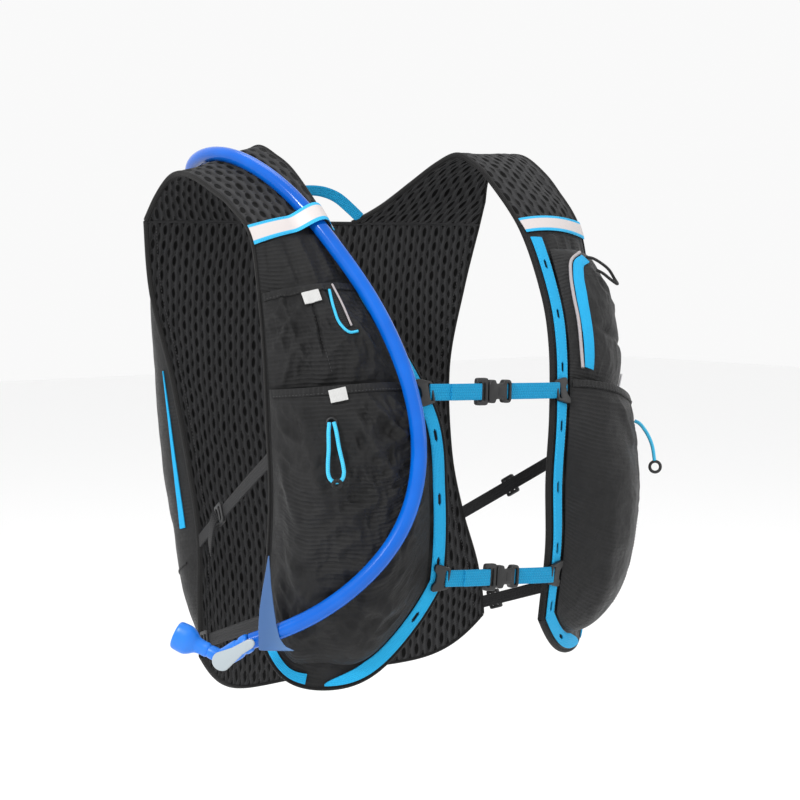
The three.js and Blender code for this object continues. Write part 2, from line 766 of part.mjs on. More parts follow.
function hookPlate() {
  const [h, w] = [hookHeight / 2, chestWebWidth / 2];
  const tail = hookLength - hookReach;
  const outline = [
    [-tail, -h], [-tail / 4, -h], [hookReach, -w - 1.6], [hookReach, w + 1.6],
    [-tail / 4, h], [-tail, h], [-tail, h / 2], [-tail / 2, h / 4], [-tail / 2, -h / 4], [-tail, -h / 2],
  ];
  const slot = rectangle(hookReach - 4, -w, hookReach - 1.8, w);
  return plate(outline, [slot], hookWall);
}

function clipPlate() {
  const [l, h, w] = [chestClipLength / 2, buckleHeight / 2 + 1.5, chestWebWidth / 2];
  const bars = [rectangle(-l + 1.8, -w, -l + 4, w), rectangle(l - 5.6, 0.5 - w, l - 3.4, w - 0.5)];
  return plate(rectangle(-l, -h, l, h), bars, buckleWall);
}

function socketPlate() {
  const [l, h, w] = [buckleLength / 2, buckleHeight / 2, chestWebWidth / 2];
  const notch = buckleHeight * 0.16;
  const outline = [
    [-l, -h], [-l * 0.6, -h], [-l * 0.45, -h + notch], [l * 0.3, -h + notch], [l * 0.45, -h], [l, -h],
    [l, h], [l * 0.45, h], [l * 0.3, h - notch], [-l * 0.45, h - notch], [-l * 0.6, h], [-l, h],
  ];
  return plate(outline, [rectangle(l - 4.2, -w, l - 2, w)], buckleWall + 2);
}

// Middle of an edge's wall at a place on it, and the way the edge runs there
function edgeLine(surface, u, t) {
  const step = 0.01;
  return {
    centre: above(surface, u, t, padWall / 2),
    run: surface.point(u, t + step).sub(surface.point(u, t - step)).normalize(),
  };
}

// Black side strap from the edge of the back panel to the arm side of a front panel, with its lock
function sideStrap(level, name, backPlace, frontPlace, lockShare) {
  const side = name === "left" ? 1 : -1;
  const rear = edgeLine(back, side > 0 ? 1 : 0, backPlace);
  const fore = edgeLine(sides[name], 1, frontPlace);
  const direction = fore.centre.clone().sub(rear.centre).normalize();
  const start = rear.centre.clone().addScaledVector(direction, sideSeat);
  const end = fore.centre.clone().addScaledVector(direction, -sideSeat);
  const acrossAt = (b) => rear.run.clone().lerp(fore.run, b).normalize();
  const normalAt = (b) => direction.clone().cross(acrossAt(b)).multiplyScalar(side).normalize();
  const face = (height) => (a, b) => {
    const across = acrossAt(b);
    const span = sideWebWidth / across.clone().cross(direction).length();
    return start.clone().lerp(end, b).addScaledVector(across, (a - 0.5) * span)
      .addScaledVector(normalAt(b), height);
  };
  add(`side_web_${level}_${name}`, closedSheet(face(-webWall / 2), face(webWall / 2), 1, 4), "blackWeb");
  const centre = start.clone().lerp(end, lockShare);
  add(`side_lock_${level}_${name}`, sideLock(), "buckle", placing(centre, direction, normalAt(lockShare)));
}

// Lock that the side webbing runs through: a flat sleeve with a window in its face
function sideLock() {
  const [l, h] = [sideLockLength / 2, sideLockHeight / 2];
  const inside = webWall + 2 * gap;
  const wall = (sideLockWall - inside) / 2;
  const w = sideWebWidth / 2 + gap;
  let solid = toSolid(new THREE.BoxGeometry(2 * l, 2 * h, sideLockWall));
  solid = solid.subtract(toSolid(new THREE.BoxGeometry(2 * l + 2, 2 * w, inside)));
  const window = new THREE.BoxGeometry(l, 2 * w - 1, wall + 2).translate(l * 0.1, 0, (sideLockWall - wall) / 2);
  return fromSolid(solid.subtract(toSolid(window)));
}

// Loop of webbing behind the neck, between the neck edges of the two straps, to hang the vest by
function hangLoop() {
  const right = edgeLine(sides.right, 0, hangPlace);
  const left = edgeLine(sides.left, 0, hangPlace);
  const start = right.centre.add(new THREE.Vector3(hangSeat, 0, 0));
  const end = left.centre.add(new THREE.Vector3(-hangSeat, 0, 0));
  const place = (share, rise) => start.clone().lerp(end, share)
    .add(new THREE.Vector3(0, hangBow * rise, hangRise * rise));
  const points = hangForm.map(([share, rise]) => place(share, rise));
  const middle = new THREE.Vector3(0, 0.45, -1).normalize();
  const widthAt = (b) => {
    const near = b < 0.5 ? right.run : left.run;
    return near.clone().lerp(middle, Math.min(1, 2.5 * Math.min(b, 1 - b))).normalize();
  };
  add("hang_loop", webbing(points, widthAt, loopWebWidth, webWall, 18), "webbing");
}

// Hose with the collar it leaves the pack by, its fin and its valve
function hose() {
  const points = hoseRoute.map((p) => new THREE.Vector3(...p));
  const curve = new THREE.CatmullRomCurve3(points);
  add("hose", cord(points, hoseDiameter, 8, 50), "hose");
  const collarBore = hoseDiameter / 2 + layerSeat;
  const collar = ring(collarBore, collarBore + portCollarWall, portCollarLength, 14);
  const start = points[0].clone().addScaledVector(curve.getTangent(0), portCollarLength / 2);
  add("hose_port", collar, "buckle", along3(start, curve.getTangent(0)));
  const finAt = curve.getPointAt(finShare);
  const tangent = curve.getTangentAt(finShare);
  finPiece(finAt, tangent);
  valve(points[points.length - 1]);
}

// Matrix that turns a piece's own z onto a direction
function along3(origin, direction) {
  const helper = Math.abs(direction.z) > 0.9 ? new THREE.Vector3(1, 0, 0) : new THREE.Vector3(0, 0, 1);
  return placing(origin, helper.clone().cross(direction).normalize(), direction);
}

// Ring or collar round its own z, centred
function ring(inner, outer, length, segments) {
  const profile = [[inner, -length / 2], [outer, -length / 2], [outer, length / 2], [inner, length / 2]];
  const points = [...profile, profile[0]].map(([x, y]) => new THREE.Vector2(x, y));
  return new THREE.LatheGeometry(points, segments).rotateX(Math.PI / 2);
}

// Turned solid round its own z from radius and height pairs, closed on the axis
function turned(profile, segments) {
  const points = [[0, profile[0][1]], ...profile, [0, profile[profile.length - 1][1]]];
  return new THREE.LatheGeometry(points.map(([x, y]) => new THREE.Vector2(x, y)), segments).rotateX(Math.PI / 2);
}

// Clear blade that stands up before the hose, on a collar round it. The outline is seen from the
// viewer's side, from the hose's centre.
function finPiece(origin, tangent) {
  const inner = hoseDiameter / 2 + layerSeat;
  const outer = inner + finWall;
  const collar = toSolid(ring(inner, outer, finCollarLength, 16).applyMatrix4(along3(origin, tangent)));
  const up = flatten(new THREE.Vector3(0, 0, 1), viewerSide);
  const blade = plate(finOutline, [], finWall);
  const at = origin.clone().addScaledVector(viewerSide, outer - finWall / 2);
  const matrix = new THREE.Matrix4().makeBasis(up.clone().cross(viewerSide), up, viewerSide).setPosition(at);
  const bore = new THREE.CylinderGeometry(inner, inner, 4 * finCollarLength, 16).rotateX(Math.PI / 2);
  const hole = toSolid(bore.applyMatrix4(along3(origin, tangent)));
  const solid = collar.add(toSolid(blade.applyMatrix4(matrix))).subtract(hole);
  add("hose_fin", fromSolid(solid), "fin");
}

// Bite valve: body with an elbow, shut-off lever on its pin, and soft mouthpiece
function valve(hoseEnd) {
  const start = hoseEnd.clone().addScaledVector(valveDirection, 2 * gap);
  const elbow = start.clone().addScaledVector(valveDirection, valveLength);
  const r = valveDiameter / 2;
  const barrel = turned([[r * 0.85, 0], [r, 2], [r, valveLength - 2], [r * 0.9, valveLength + r * 0.5]], 14);
  const spout = turned([[r * 0.75, 0], [r * 0.75, spoutLength]], 12);
  const barrelSolid = toSolid(barrel.applyMatrix4(along3(start, valveDirection)));
  const spoutSolid = toSolid(spout.applyMatrix4(along3(elbow, spoutDirection)));
  const facing = flatten(viewerSide, valveDirection);
  const pinFoot = elbow.clone().addScaledVector(valveDirection, -r * 0.3);
  const pin = turned([[pinRadius, 0], [pinRadius, r + leverSeat + leverWall + gap]], 12);
  const pinSolid = toSolid(pin.applyMatrix4(along3(pinFoot, facing)));
  add("valve_body", fromSolid(barrelSolid.add(spoutSolid).add(pinSolid)), "valve");
  leverPiece(pinFoot.clone().addScaledVector(facing, r + leverSeat + leverWall / 2), facing);
  const mouth = elbow.clone().addScaledVector(spoutDirection, spoutLength + gap);
  const soft = turned([
    [r * 0.78, 0], [r * 0.8, 6], [r * 1.25, 12], [r * 1.6, 17], [r * 1.55, mouthLength - 1],
    [r * 1.45, mouthLength],
  ], 16).scale(1, mouthFlatness, 1);
  add("mouthpiece", soft, "valve", placing(mouth, spoutDirection.clone().cross(facing), spoutDirection));
}

function leverPiece(origin, facing) {
  const back0 = valveDirection.clone().multiplyScalar(-1);
  const outline = [];
  for (let k = 0; k <= 8; k++) {
    const angle = Math.PI / 2 + Math.PI * k / 8;
    outline.push([Math.cos(angle) * leverDisc, Math.sin(angle) * leverDisc]);
  }
  outline.push([leverLength * 0.6, -3.4], [leverLength, -3.2], [leverLength + 1.5, 0], [leverLength, 3.2]);
  outline.push([leverLength * 0.4, 3.8]);
  const bore = [];
  for (let k = 0; k < 12; k++) {
    const angle = 2 * Math.PI * k / 12;
    bore.push([Math.cos(angle) * (pinRadius + gap), Math.sin(angle) * (pinRadius + gap)]);
  }
  add("valve_lever", plate(outline, [bore], leverWall), "lever", placing(origin, back0, facing));
}

// Small sewn tab on the outer face of a pocket, below its mouth
function tab(name, face, [a, b]) {
  const path = straight([a, b], [a, b + 0.12]);
  const run = face.point(...path(0)).distanceTo(face.point(...path(1)));
  const cut = (q) => path(q * tabHeight / run);
  const half = tabWidth / 2;
  add(name, tape(face, cut, -half, half, () => gap, tapeWall, 2, 1), "tab");
}

// Elastic cord in a loop that hangs from an eyelet on a pocket
function bungeeLoop(face, [a, b]) {
  const seat = above(face, a, b, gap + eyeletWall / 2);
  const normal = outward(face.point, a, b, face.sign);
  const eyelet = ring(eyeletHole, eyeletRadius, eyeletWall, 12);
  add("eyelet_right", eyelet, "buckle", along3(seat, normal));
  const run = (db) => above(face, a, b + db, bungeeDiameter / 2 + 2 * gap + eyeletWall);
  const down = run(0.1).sub(run(0)).normalize();
  const aside = down.clone().cross(normal).normalize();
  const place = (x, y, out) => seat.clone().addScaledVector(down, y).addScaledVector(aside, x)
    .addScaledVector(normal, out);
  const h = eyeletWall / 2 + gap + bungeeDiameter / 2;
  const points = [
    place(-1.6, 0, h), place(-2.6, 6, h + 1), place(-3.4, 18, h + 1), place(-4.6, 30, h + 1),
    place(-4, 38, h + 1), place(0, 41.5, h + 1), place(4, 38, h + 1), place(4.6, 30, h + 1),
    place(3.4, 18, h + 1), place(2.6, 6, h + 1), place(1.6, 0, h),
  ];
  add("bungee_right", cord(points, bungeeDiameter, 8, 18), "webbing");
}

// Thin cord sewn down along places on a pocket
function surfaceCord(name, face, places, diameter, steps, colour) {
  const points = places.map(([a, b]) => above(face, a, b, diameter / 2 + layerSeat));
  add(name, cord(points, diameter, 8, steps), colour);
}

// Smooth path through places on a surface
function smooth(places) {
  const curve = new THREE.CatmullRomCurve3(places.map(([a, b]) => new THREE.Vector3(a, b, 0)));
  return (q) => {
    const p = curve.getPoint(Math.min(Math.max(q, 0), 1));
    return [p.x, p.y];
  };
}

// Blue tape of the zip, beside its piping
function zipTape(face) {
  const near = pipingDiameter / 2 + layerSeat;
  const strip = tape(face, smooth(zipPlaces), near, near + zipTapeWidth, () => layerSeat, tapeWall, 16, 2);
  add("zip_tape_left", strip, "tape");
}

// Loop of black cord at the top of the zip
function pullCord(face) {
  const lift = pullCordDiameter / 2 + gap;
  const raised = (a, b, extra) => above(face, a, b, lift + extra);
  const points = [
    raised(0.47, 0.08, 0), raised(0.54, 0.09, 2), raised(0.62, 0.12, 4), raised(0.71, 0.17, 6),
    raised(0.75, 0.22, 7), raised(0.71, 0.26, 6), raised(0.62, 0.23, 4), raised(0.56, 0.19, 2),
    raised(0.5, 0.17, 0),
  ];
  add("cord_pull_left", cord(points, pullCordDiameter, 8, 20), "blackWeb");
}

// Metal puller near the foot of the zipped pocket
function zipPull(face) {
  const [a, b] = [0.8, 0.9];
  const normal = outward(face.point, a, b, face.sign);
  const down = above(face, a, b + 0.05, 0).sub(above(face, a, b, 0)).normalize();
  const [l, w] = [pullLength / 2, pullWidth / 2];
  const outline = [[-l, -w / 2], [-l + 1, -w], [l, -w], [l, w], [-l + 1, w], [-l, w / 2]];
  const eye = rectangle(l - 4, -w + 1.2, l - 1.2, w - 1.2);
  const origin = above(face, a, b, gap + pullWall / 2 + pullBelly);
  add("zip_pull_left", plate(outline, [eye], pullWall), "metal", placing(origin, down, normal));
}

// Elastic cord that hangs from the mouth of the left pocket, with a ring on its end
function bungeeAndRing(face) {
  const [a, b] = [0.68, 0.1];
  const normal = outward(face.point, a, b, face.sign);
  const foot = above(face, a, b, bungeeDiameter / 2 + 0.1);
  const place = (out, down) => foot.clone().addScaledVector(normal, out).add(new THREE.Vector3(0, 0, -down));
  const points = [place(0, 0), place(4, 3), place(10, 12), place(14, 22), place(16, 34)];
  add("bungee_left", cord(points, bungeeDiameter, 8, 12), "webbing");
  const centre = place(16.5, 34 + gap + ringRadius + ringWire);
  const wire = new THREE.TorusGeometry(ringRadius, ringWire, 6, 16);
  add("ring_left", wire, "buckle", placing(centre, new THREE.Vector3(0, 0, 1), viewerSide));
}

backPanel();
for (const [name, surface] of Object.entries(sides)) {
  shoulderStrap(name, surface);
  frontPanel(name, surface);
}
pack();
packEdge("right", packEdgePlace);
packEdge("left", 1 - packEdgePlace);

const chestPocket = openPocket(
  "chest_pocket_right", "right", chestMouthPlace, lowerMouthPlace, chestPocketDepth, chestMouthShare,
  chestFootForm);
const flaskPocket = openPocket(
  "flask_pocket_right", "right", lowerMouthPlace, 1, flaskPocketDepth, flaskMouthShare, flaskFootForm);
const phonePocket = zipPocket("zip_pocket_left", "left", zipTopPlace, lowerMouthPlace, phonePocketDepth);
const leftFlask = openPocket(
  "flask_pocket_left", "left", lowerMouthPlace, 1, leftFlaskDepth, flaskMouthShare, flaskFootForm);

for (const name of Object.keys(sides)) {
  ladderTrim(name);
  hemTape(name);
}
shoulderBand("right", hoseDiameter + layerSeat);
shoulderBand("left", 0);
chestStrap("upper", upperHookPlace);
chestStrap("lower", lowerHookPlace);
for (const name of Object.keys(sides)) {
  sideStrap("upper", name, upperSideBack, upperSidePlace, 0.37);
  sideStrap("lower", name, lowerSideBack, lowerSidePlace, 0.12);
}
hangLoop();
hose();
tab("tab_chest_right", chestPocket, [0.53, 0.08]);
tab("tab_flask_right", flaskPocket, [0.54, 0.012]);
bungeeLoop(flaskPocket, [0.61, 0.12]);
surfaceCord("slit_edge_right", chestPocket, slitEdgePlaces, slitCordDiameter, 12, "tape");
surfaceCord("slit_piping_right", chestPocket, slitPipingPlaces, slitCordDiameter, 4, "reflective");
surfaceCord("zip_piping_left", phonePocket, zipPlaces, pipingDiameter, 18, "reflective");
zipTape(phonePocket);
pullCord(phonePocket);
zipPull(phonePocket);
bungeeAndRing(leftFlask);

export default vest;
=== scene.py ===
"""Running hydration vest: mesh back and straps, pack, front pockets, webbing, buckles and drinking hose.

Lengths are worked out in millimetres in the vest's own frame (+Z up, the wearer faces -Y, the wearer's left
is +X) and each mesh is put down in metres. Cloth is a layer at a height above one of two base surfaces, the
strip of one side (over the shoulder and down the front) and the back panel, at places (u, t) on them.
"""

import math

import bpy
import numpy as np
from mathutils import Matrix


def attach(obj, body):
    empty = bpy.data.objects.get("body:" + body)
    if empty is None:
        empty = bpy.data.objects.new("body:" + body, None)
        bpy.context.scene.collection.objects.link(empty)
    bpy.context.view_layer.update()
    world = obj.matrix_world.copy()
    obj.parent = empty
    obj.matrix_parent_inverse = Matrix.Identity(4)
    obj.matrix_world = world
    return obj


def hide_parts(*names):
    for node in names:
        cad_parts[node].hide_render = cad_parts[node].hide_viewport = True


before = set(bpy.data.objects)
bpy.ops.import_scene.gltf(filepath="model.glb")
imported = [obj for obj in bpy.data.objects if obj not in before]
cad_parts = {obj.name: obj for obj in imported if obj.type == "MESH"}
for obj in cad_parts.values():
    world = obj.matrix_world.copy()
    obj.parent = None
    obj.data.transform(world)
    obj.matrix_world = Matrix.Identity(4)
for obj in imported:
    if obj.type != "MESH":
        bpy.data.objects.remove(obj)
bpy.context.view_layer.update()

# Sizes of the vest, as its solids have them
TORSO_HALF, CHEST_DEPTH, BACK_DEPTH = 165, 172, 68
FRONT_DROP, BACK_DROP, YOKE_DROP = 390, 424, 54
STRAP_CROWN, LEFT_SHOULDER_LIFT = 14, 24
PAD, CLOTH, SEAT, TAPE, WEB, GAP = 4.0, 1.4, 0.8, 0.8, 1.6, 0.3
PACK_DEPTH, PACK_MOUTH = 60, 27
BAND_PLACE, HOSE_WIDTH = 0.5, 11.4
TRIM_INSET, TRIM_WIDTH, SLOT_LENGTH, SLOT_WIDTH, SLOT_PITCH = 2.5, 9.5, 9, 2.6, 46

# Strip of one side: neckX, neckReach, neckDrop, armX, armReach, armDrop, crown
OVER_SHOULDER = [
    (0.24, 0.81, 1.0, 1.0, 0.62, 1.0, 0.17),
    (0.38, 0.69, 0.76, 0.98, 0.47, 0.68, 0.15),
    (0.5, 0.47, 0.42, 0.955, 0.31, 0.44, 0.12),
    (0.57, 0.2, 0.14, 0.955, 0.06, 0.38, 0.08),
]
DOWN_FRONT = [
    (0.59, 0.05, 0.0, 0.965, 0.1, 0.062, 0.06),
    (0.59, 0.17, 0.018, 0.96, 0.23, 0.086, 0.1),
    (0.58, 0.3, 0.054, 0.955, 0.36, 0.115, 0.2),
    (0.57, 0.53, 0.152, 0.955, 0.51, 0.17, 0.4),
    (0.51, 0.74, 0.278, 0.955, 0.58, 0.283, 0.6),
    (0.43, 0.88, 0.38, 0.965, 0.63, 0.385, 0.85),
    (0.33, 0.99, 0.506, 0.965, 0.65, 0.506, 1.0),
    (0.3, 1.0, 0.633, 0.95, 0.645, 0.633, 1.0),
    (0.3, 1.0, 0.76, 0.94, 0.61, 0.757, 0.95),
    (0.31, 0.95, 0.886, 0.945, 0.56, 0.88, 0.85),
    (0.34, 0.88, 1.0, 0.94, 0.53, 0.995, 0.75),
]
# Back panel: half width, edge reach, middle reach, drop
BACK_SECTIONS = [
    (1.0, 0.62, 0.83, 0.0), (0.94, 0.75, 0.97, 0.146), (0.836, 0.735, 1.0, 0.325), (0.79, 0.56, 0.88, 0.518),
    (0.794, 0.353, 0.735, 0.656), (0.836, 0.18, 0.66, 0.78), (0.85, 0.1, 0.63, 0.89), (0.84, 0.12, 0.65, 1.0),
]
# Pack: place down the back panel, half width, depth
PACK_SECTIONS = [
    (0.03, 0.8, 0.0), (0.12, 0.9, 0.42), (0.26, 0.94, 0.84), (0.42, 0.965, 1.0), (0.6, 0.95, 0.92),
    (0.76, 0.89, 0.68), (0.88, 0.8, 0.42), (0.95, 0.72, 0.18), (0.97, 0.69, 0.0),
]
# Hose from the pack's mouth to its valve
HOSE_ROUTE = np.array([
    (-84, 69, -67), (-86, 74, -50), (-96, 77, -34), (-110, 71, -21), (-121, 58, -14), (-127, 42, -6),
    (-131, 22, -3), (-132, 0, -1), (-132, -24, -3), (-131, -44, -10), (-128, -56, -15), (-123, -66, -22),
    (-120, -80, -31), (-115, -92, -42), (-112, -103, -54), (-110, -110, -63), (-106, -119, -75),
    (-101, -126, -84), (-94, -139, -101), (-91, -153, -122), (-87, -165, -142), (-84, -174, -161),
    (-83, -181, -178), (-82, -186, -197), (-82, -188, -211), (-83, -189, -226), (-86, -188, -246),
    (-93, -188, -264), (-103, -186, -282), (-118, -178, -298), (-132, -167, -316), (-147, -151, -330),
    (-154, -138, -339), (-167, -126, -345), (-175.4, -119.5, -346.2), (-178, -116, -349),
], float)

# Camera at the photograph's angle, its focal length in pixels of the photograph
AZIMUTH, ELEVATION = math.radians(-38), math.radians(4.5)
AIM, DISTANCE = np.array([0.028, -0.022, -0.195]), 1.54
PHOTO_WIDTH, FOCAL_LENGTH, SENSOR = 800, 1925, 36
sight = np.array([math.sin(AZIMUTH) * math.cos(ELEVATION), -math.cos(AZIMUTH) * math.cos(ELEVATION),
                  math.sin(ELEVATION)])
camera = bpy.data.objects.new("camera", bpy.data.cameras.new("camera"))
bpy.context.scene.collection.objects.link(camera)
camera.location = AIM + DISTANCE * sight
camera.rotation_euler = (math.pi / 2 - ELEVATION, 0, AZIMUTH)
camera.data.sensor_width = SENSOR
camera.data.lens = SENSOR * FOCAL_LENGTH / PHOTO_WIDTH
bpy.context.scene.camera = camera
bpy.context.scene.view_settings.view_transform = "Standard"


# Finishes

MATT, SATIN = 0.12, 0.5


class Shade:
    """One shader socket. Sums, products and powers of these add their Math nodes."""

    def __init__(self, tree, socket):
        self.tree, self.socket = tree, socket

    def math(self, operation, *values):
        node = self.tree.nodes.new("ShaderNodeMath")
        node.operation = operation
        for socket, value in zip(node.inputs, values):
            if isinstance(value, Shade):
                self.tree.links.new(value.socket, socket)
            else:
                socket.default_value = value
        return Shade(self.tree, node.outputs[0])

    def __add__(self, other):
        return self.math("ADD", self, other)

    def __sub__(self, other):
        return self.math("SUBTRACT", self, other)

    def __rsub__(self, other):
        return self.math("SUBTRACT", other, self)

    def __mul__(self, other):
        return self.math("MULTIPLY", self, other)

    def __truediv__(self, other):
        return self.math("DIVIDE", self, other)

    def __pow__(self, other):
        return self.math("POWER", self, other)

    __radd__, __rmul__ = __add__, __mul__

    def sine(self):
        return self.math("SINE", self)

    def size(self):
        return self.math("ABSOLUTE", self)

    def fraction(self):
        return self.math("FRACT", self)

    def most(self, other):
        return self.math("MAXIMUM", self, other)


class Finish:
    """A finish of the vest: its material, the shader, and the nodes that vary it over a surface."""

    def __init__(self, name, colour, roughness, specular=SATIN, **fixed):
        self.material = bpy.data.materials.new(name)
        self.material.use_nodes = True
        self.tree = self.material.node_tree
        self.shader = self.tree.nodes["Principled BSDF"]
        self.shader.inputs["Base Color"].default_value = (*colour, 1)
        self.shader.inputs["Roughness"].default_value = roughness
        self.shader.inputs["Specular IOR Level"].default_value = specular
        for name, value in fixed.items():
            self.shader.inputs[name.replace("_", " ")].default_value = value

    def node(self, kind, settings=None, values=None, output=0):
        """Any node but Math: its settings first, then the values or links of its sockets."""
        node = self.tree.nodes.new("ShaderNode" + kind)
        for name, value in (settings or {}).items():
            setattr(node, name, value)
        for name, value in (values or {}).items():
            if isinstance(value, Shade):
                self.tree.links.new(value.socket, node.inputs[name])
            else:
                node.inputs[name].default_value = value
        return Shade(self.tree, node.outputs[output])

    def on_piece(self):
        """The two coordinates of the piece's own map, in millimetres across and along it."""
        place = self.node("TexCoord", output="UV")
        return tuple(self.node("SeparateXYZ", values={"Vector": place}, output=axis) * 1000 for axis in "XY")

    def in_space(self):
        return self.node("TexCoord", output="Object")

    def mottle(self, scale, detail=3.0):
        """Smooth noise from 0 to 1 in the object's space, scale in cells per metre."""
        return self.node("TexNoise", values={"Vector": self.in_space(), "Scale": scale, "Detail": detail})

    def ease(self, value, low, high):
        """0 below low, 1 above high, and smooth between."""
        return self.node("MapRange", {"interpolation_type": "SMOOTHSTEP"},
                         {"Value": value, "From Min": low, "From Max": high})

    def mix(self, share, first, second):
        """Colour that goes from first to second with a share."""
        node = self.tree.nodes.new("ShaderNodeMix")
        node.data_type = "RGBA"
        self.tree.links.new(share.socket, node.inputs[0])
        for socket, value in ((node.inputs[6], first), (node.inputs[7], second)):
            if isinstance(value, Shade):
                self.tree.links.new(value.socket, socket)
            else:
                socket.default_value = (*value, 1)
        return Shade(self.tree, node.outputs[2])

    def paint(self, socket, value):
        self.tree.links.new(value.socket, self.shader.inputs[socket])

    def relief(self, height, depth, strength=1.0):
        """Bump of a height from 0 to 1 that stands for a depth in metres."""
        bump = self.node("Bump", values={"Height": height, "Distance": depth, "Strength": strength},
                         output="Normal")
        self.paint("Normal", bump)


MESH_ACROSS, MESH_ALONG = 11.8, 13.3


def mesh_cloth():
    """Spacer mesh: long holes in columns, small ones half a pitch over between them, ribs beside. The holes are
    painted near black, a painted shade inside them.
    """
    f = Finish("mesh_cloth", (0.03, 0.03, 0.031), 0.85, MATT, Sheen_Weight=0.05, Sheen_Roughness=0.5)
    across, along = f.on_piece()
    sway = f.mottle(28.0, 2.0)
    across = across + (sway - 0.5) * 2.2
    along = along + (f.mottle(23.0, 2.0) - 0.5) * 3.0

    def holes(shift_across, shift_along, pitch, half_across, half_along):
        dx = ((across / MESH_ACROSS + shift_across).fraction() - 0.5) * (MESH_ACROSS / half_across)
        dy = ((along / pitch + shift_along).fraction() - 0.5) * (pitch / half_along)
        return 1 - f.ease(dx * dx + dy * dy, 0.45, 1.35)

    big = holes(0.0, 0.0, MESH_ALONG, 2.0, 4.6)
    small = holes(0.5, 0.5, MESH_ALONG, 1.5, 3.2)
    dots = holes(0.5, 0.0, MESH_ALONG / 2, 0.75, 1.0) + holes(0.0, 0.5, MESH_ALONG, 0.6, 1.0) * 0.6
    hole_shade_share = big.most(small * 0.9).most(dots * 0.75)
    rib = (across * (4 * math.pi / MESH_ACROSS)).sine() * 0.5 + 0.5
    knit = (along * (2 * math.pi / 1.5) + across * 1.5).sine() * (across * (2 * math.pi / 1.2)).sine()
    light = f.mix(rib * 0.5 + knit * 0.2 + 0.2, (0.013, 0.013, 0.0135), (0.052, 0.052, 0.054))
    # Painted shade: the holes are painted near black for the shade that falls inside them.
    f.paint("Base Color", f.mix(hole_shade_share, light, (0.0012, 0.0012, 0.0012)))
    f.relief((1 - hole_shade_share) * 0.75 + rib * 0.1 + knit * 0.06, 0.0014)
    return f


def ripstop_cloth():
    """Light ripstop: fine ribs that drift, a faint grid, and crumpled, slightly glossy patches; the crumples'
    crests are painted lighter, a painted highlight.
    """
    f = Finish("ripstop_cloth", (0.02, 0.02, 0.0205), 0.5, 0.25, Sheen_Weight=0.05, Sheen_Roughness=0.4)
    across, along = f.on_piece()
    drift = (f.mottle(24.0, 2.0) - 0.5) * 5.0
    rib = ((along + drift) * (2 * math.pi / 3.3)).sine() * 0.5 + 0.5
    thread = (across * (2 * math.pi / 0.9)).sine() * (along * (2 * math.pi / 0.9)).sine()
    grid = f.ease(((across / 5.2).fraction() - 0.5).size(), 0.42, 0.5)
    crumple_and_highlight = (f.mottle(55.0, 4.0) - 0.5).size() * 2.0
    patch = f.ease(f.mottle(16.0, 2.0), 0.38, 0.66)
    # Painted highlight: the crumples' crests are painted lighter, where they stand up in the relief.
    tone = (rib ** 3 * 0.4 + grid * 0.06) * patch + crumple_and_highlight * 0.3 + f.mottle(160.0, 4.0) * 0.3
    f.paint("Base Color", f.mix(tone, (0.004, 0.004, 0.0042), (0.023, 0.023, 0.024)))
    f.paint("Roughness", f.mottle(70.0) * 0.25 + 0.34)
    f.relief(rib * patch * 0.14 + thread * 0.05 + crumple_and_highlight * 0.8, 0.0022)
    return f


def woven(name, dark, light, rib_pitch, roughness=0.6, depth=0.0004, specular=MATT):
    """Woven tape: ribs across its length, each a row of slanting threads that turn back in the next."""
    f = Finish(name, light, roughness, specular, Sheen_Weight=0.05, Sheen_Roughness=0.4)
    across, along = f.on_piece()
    slant = (along * (2 * math.pi / rib_pitch)
             + (across * (math.pi / (1.6 * rib_pitch))).sine() * 2.0).sine() * 0.5 + 0.5
    row = (across * (2 * math.pi / (1.1 * rib_pitch))).sine() * 0.5 + 0.5
    tone = slant * 0.55 + row * 0.3 + f.mottle(220.0) * 0.3
    f.paint("Base Color", f.mix(tone, dark, light))
    f.relief(slant * 0.6 + row * 0.4, depth)
    return f


def band_tape():
    """Reflective band: blue woven edges, and a silver face of tiny beads in a slanting grid."""
    f = Finish("band_tape", (0.7, 0.66, 0.65), 0.4)
    across, along = f.on_piece()
    edge = f.ease(across.size(), 4.4, 4.9)
    beads = (across * 4.2 + along * 4.2).sine() * (across * 4.2 - along * 4.2).sine()
    face = f.mix(beads * 0.5 + 0.5, (0.5, 0.455, 0.445), (0.68, 0.63, 0.62))
    weave = f.mix((along * 5.0).sine() * 0.5 + 0.5, (0.012, 0.33, 0.62), (0.03, 0.5, 0.85))
    f.paint("Base Color", f.mix(edge, face, weave))
    f.paint("Roughness", edge * 0.3 + 0.35)
    f.relief(edge * ((along * 5.0).sine() * 0.3 + 0.5) + beads * 0.1, 0.0003)
    return f


def moulded(name, colour, roughness, grain=0.0001, **fixed):
    """Moulded plastic: a fine spark-eroded grain and faint handling marks in its gloss."""
    f = Finish(name, colour, roughness, **fixed)
    f.paint("Roughness", f.mottle(120.0) * 0.2 + (roughness - 0.1))
    f.relief(f.mottle(2600.0, 2.0), grain)
    return f


def clear_fin():
    """Smoky blue, half clear moulding, paler towards its point."""
    f = Finish("fin_plastic", (0.14, 0.27, 0.52), 0.22, Transmission_Weight=0.3, IOR=1.3)
    along = f.on_piece()[1]
    f.paint("Base Color", f.mix(f.ease(along, -6.0, 30.0), (0.08, 0.17, 0.38), (0.2, 0.36, 0.62)))
    f.paint("Roughness", f.mottle(300.0) * 0.15 + 0.15)
    return f


def hose_tube():
    """Blue drinking hose: glossy, its blue a shade deeper in soft patches."""
    f = Finish("hose_tube", (0.004, 0.16, 0.75), 0.16, 0.25, Coat_Weight=0.12, Coat_Roughness=0.05)
    streak = f.mottle(30.0, 2.0)
    f.paint("Base Color", f.mix(streak, (0.0, 0.075, 0.42), (0.001, 0.14, 0.64)))
    f.paint("Roughness", f.mottle(200.0) * 0.1 + 0.12)
    return f


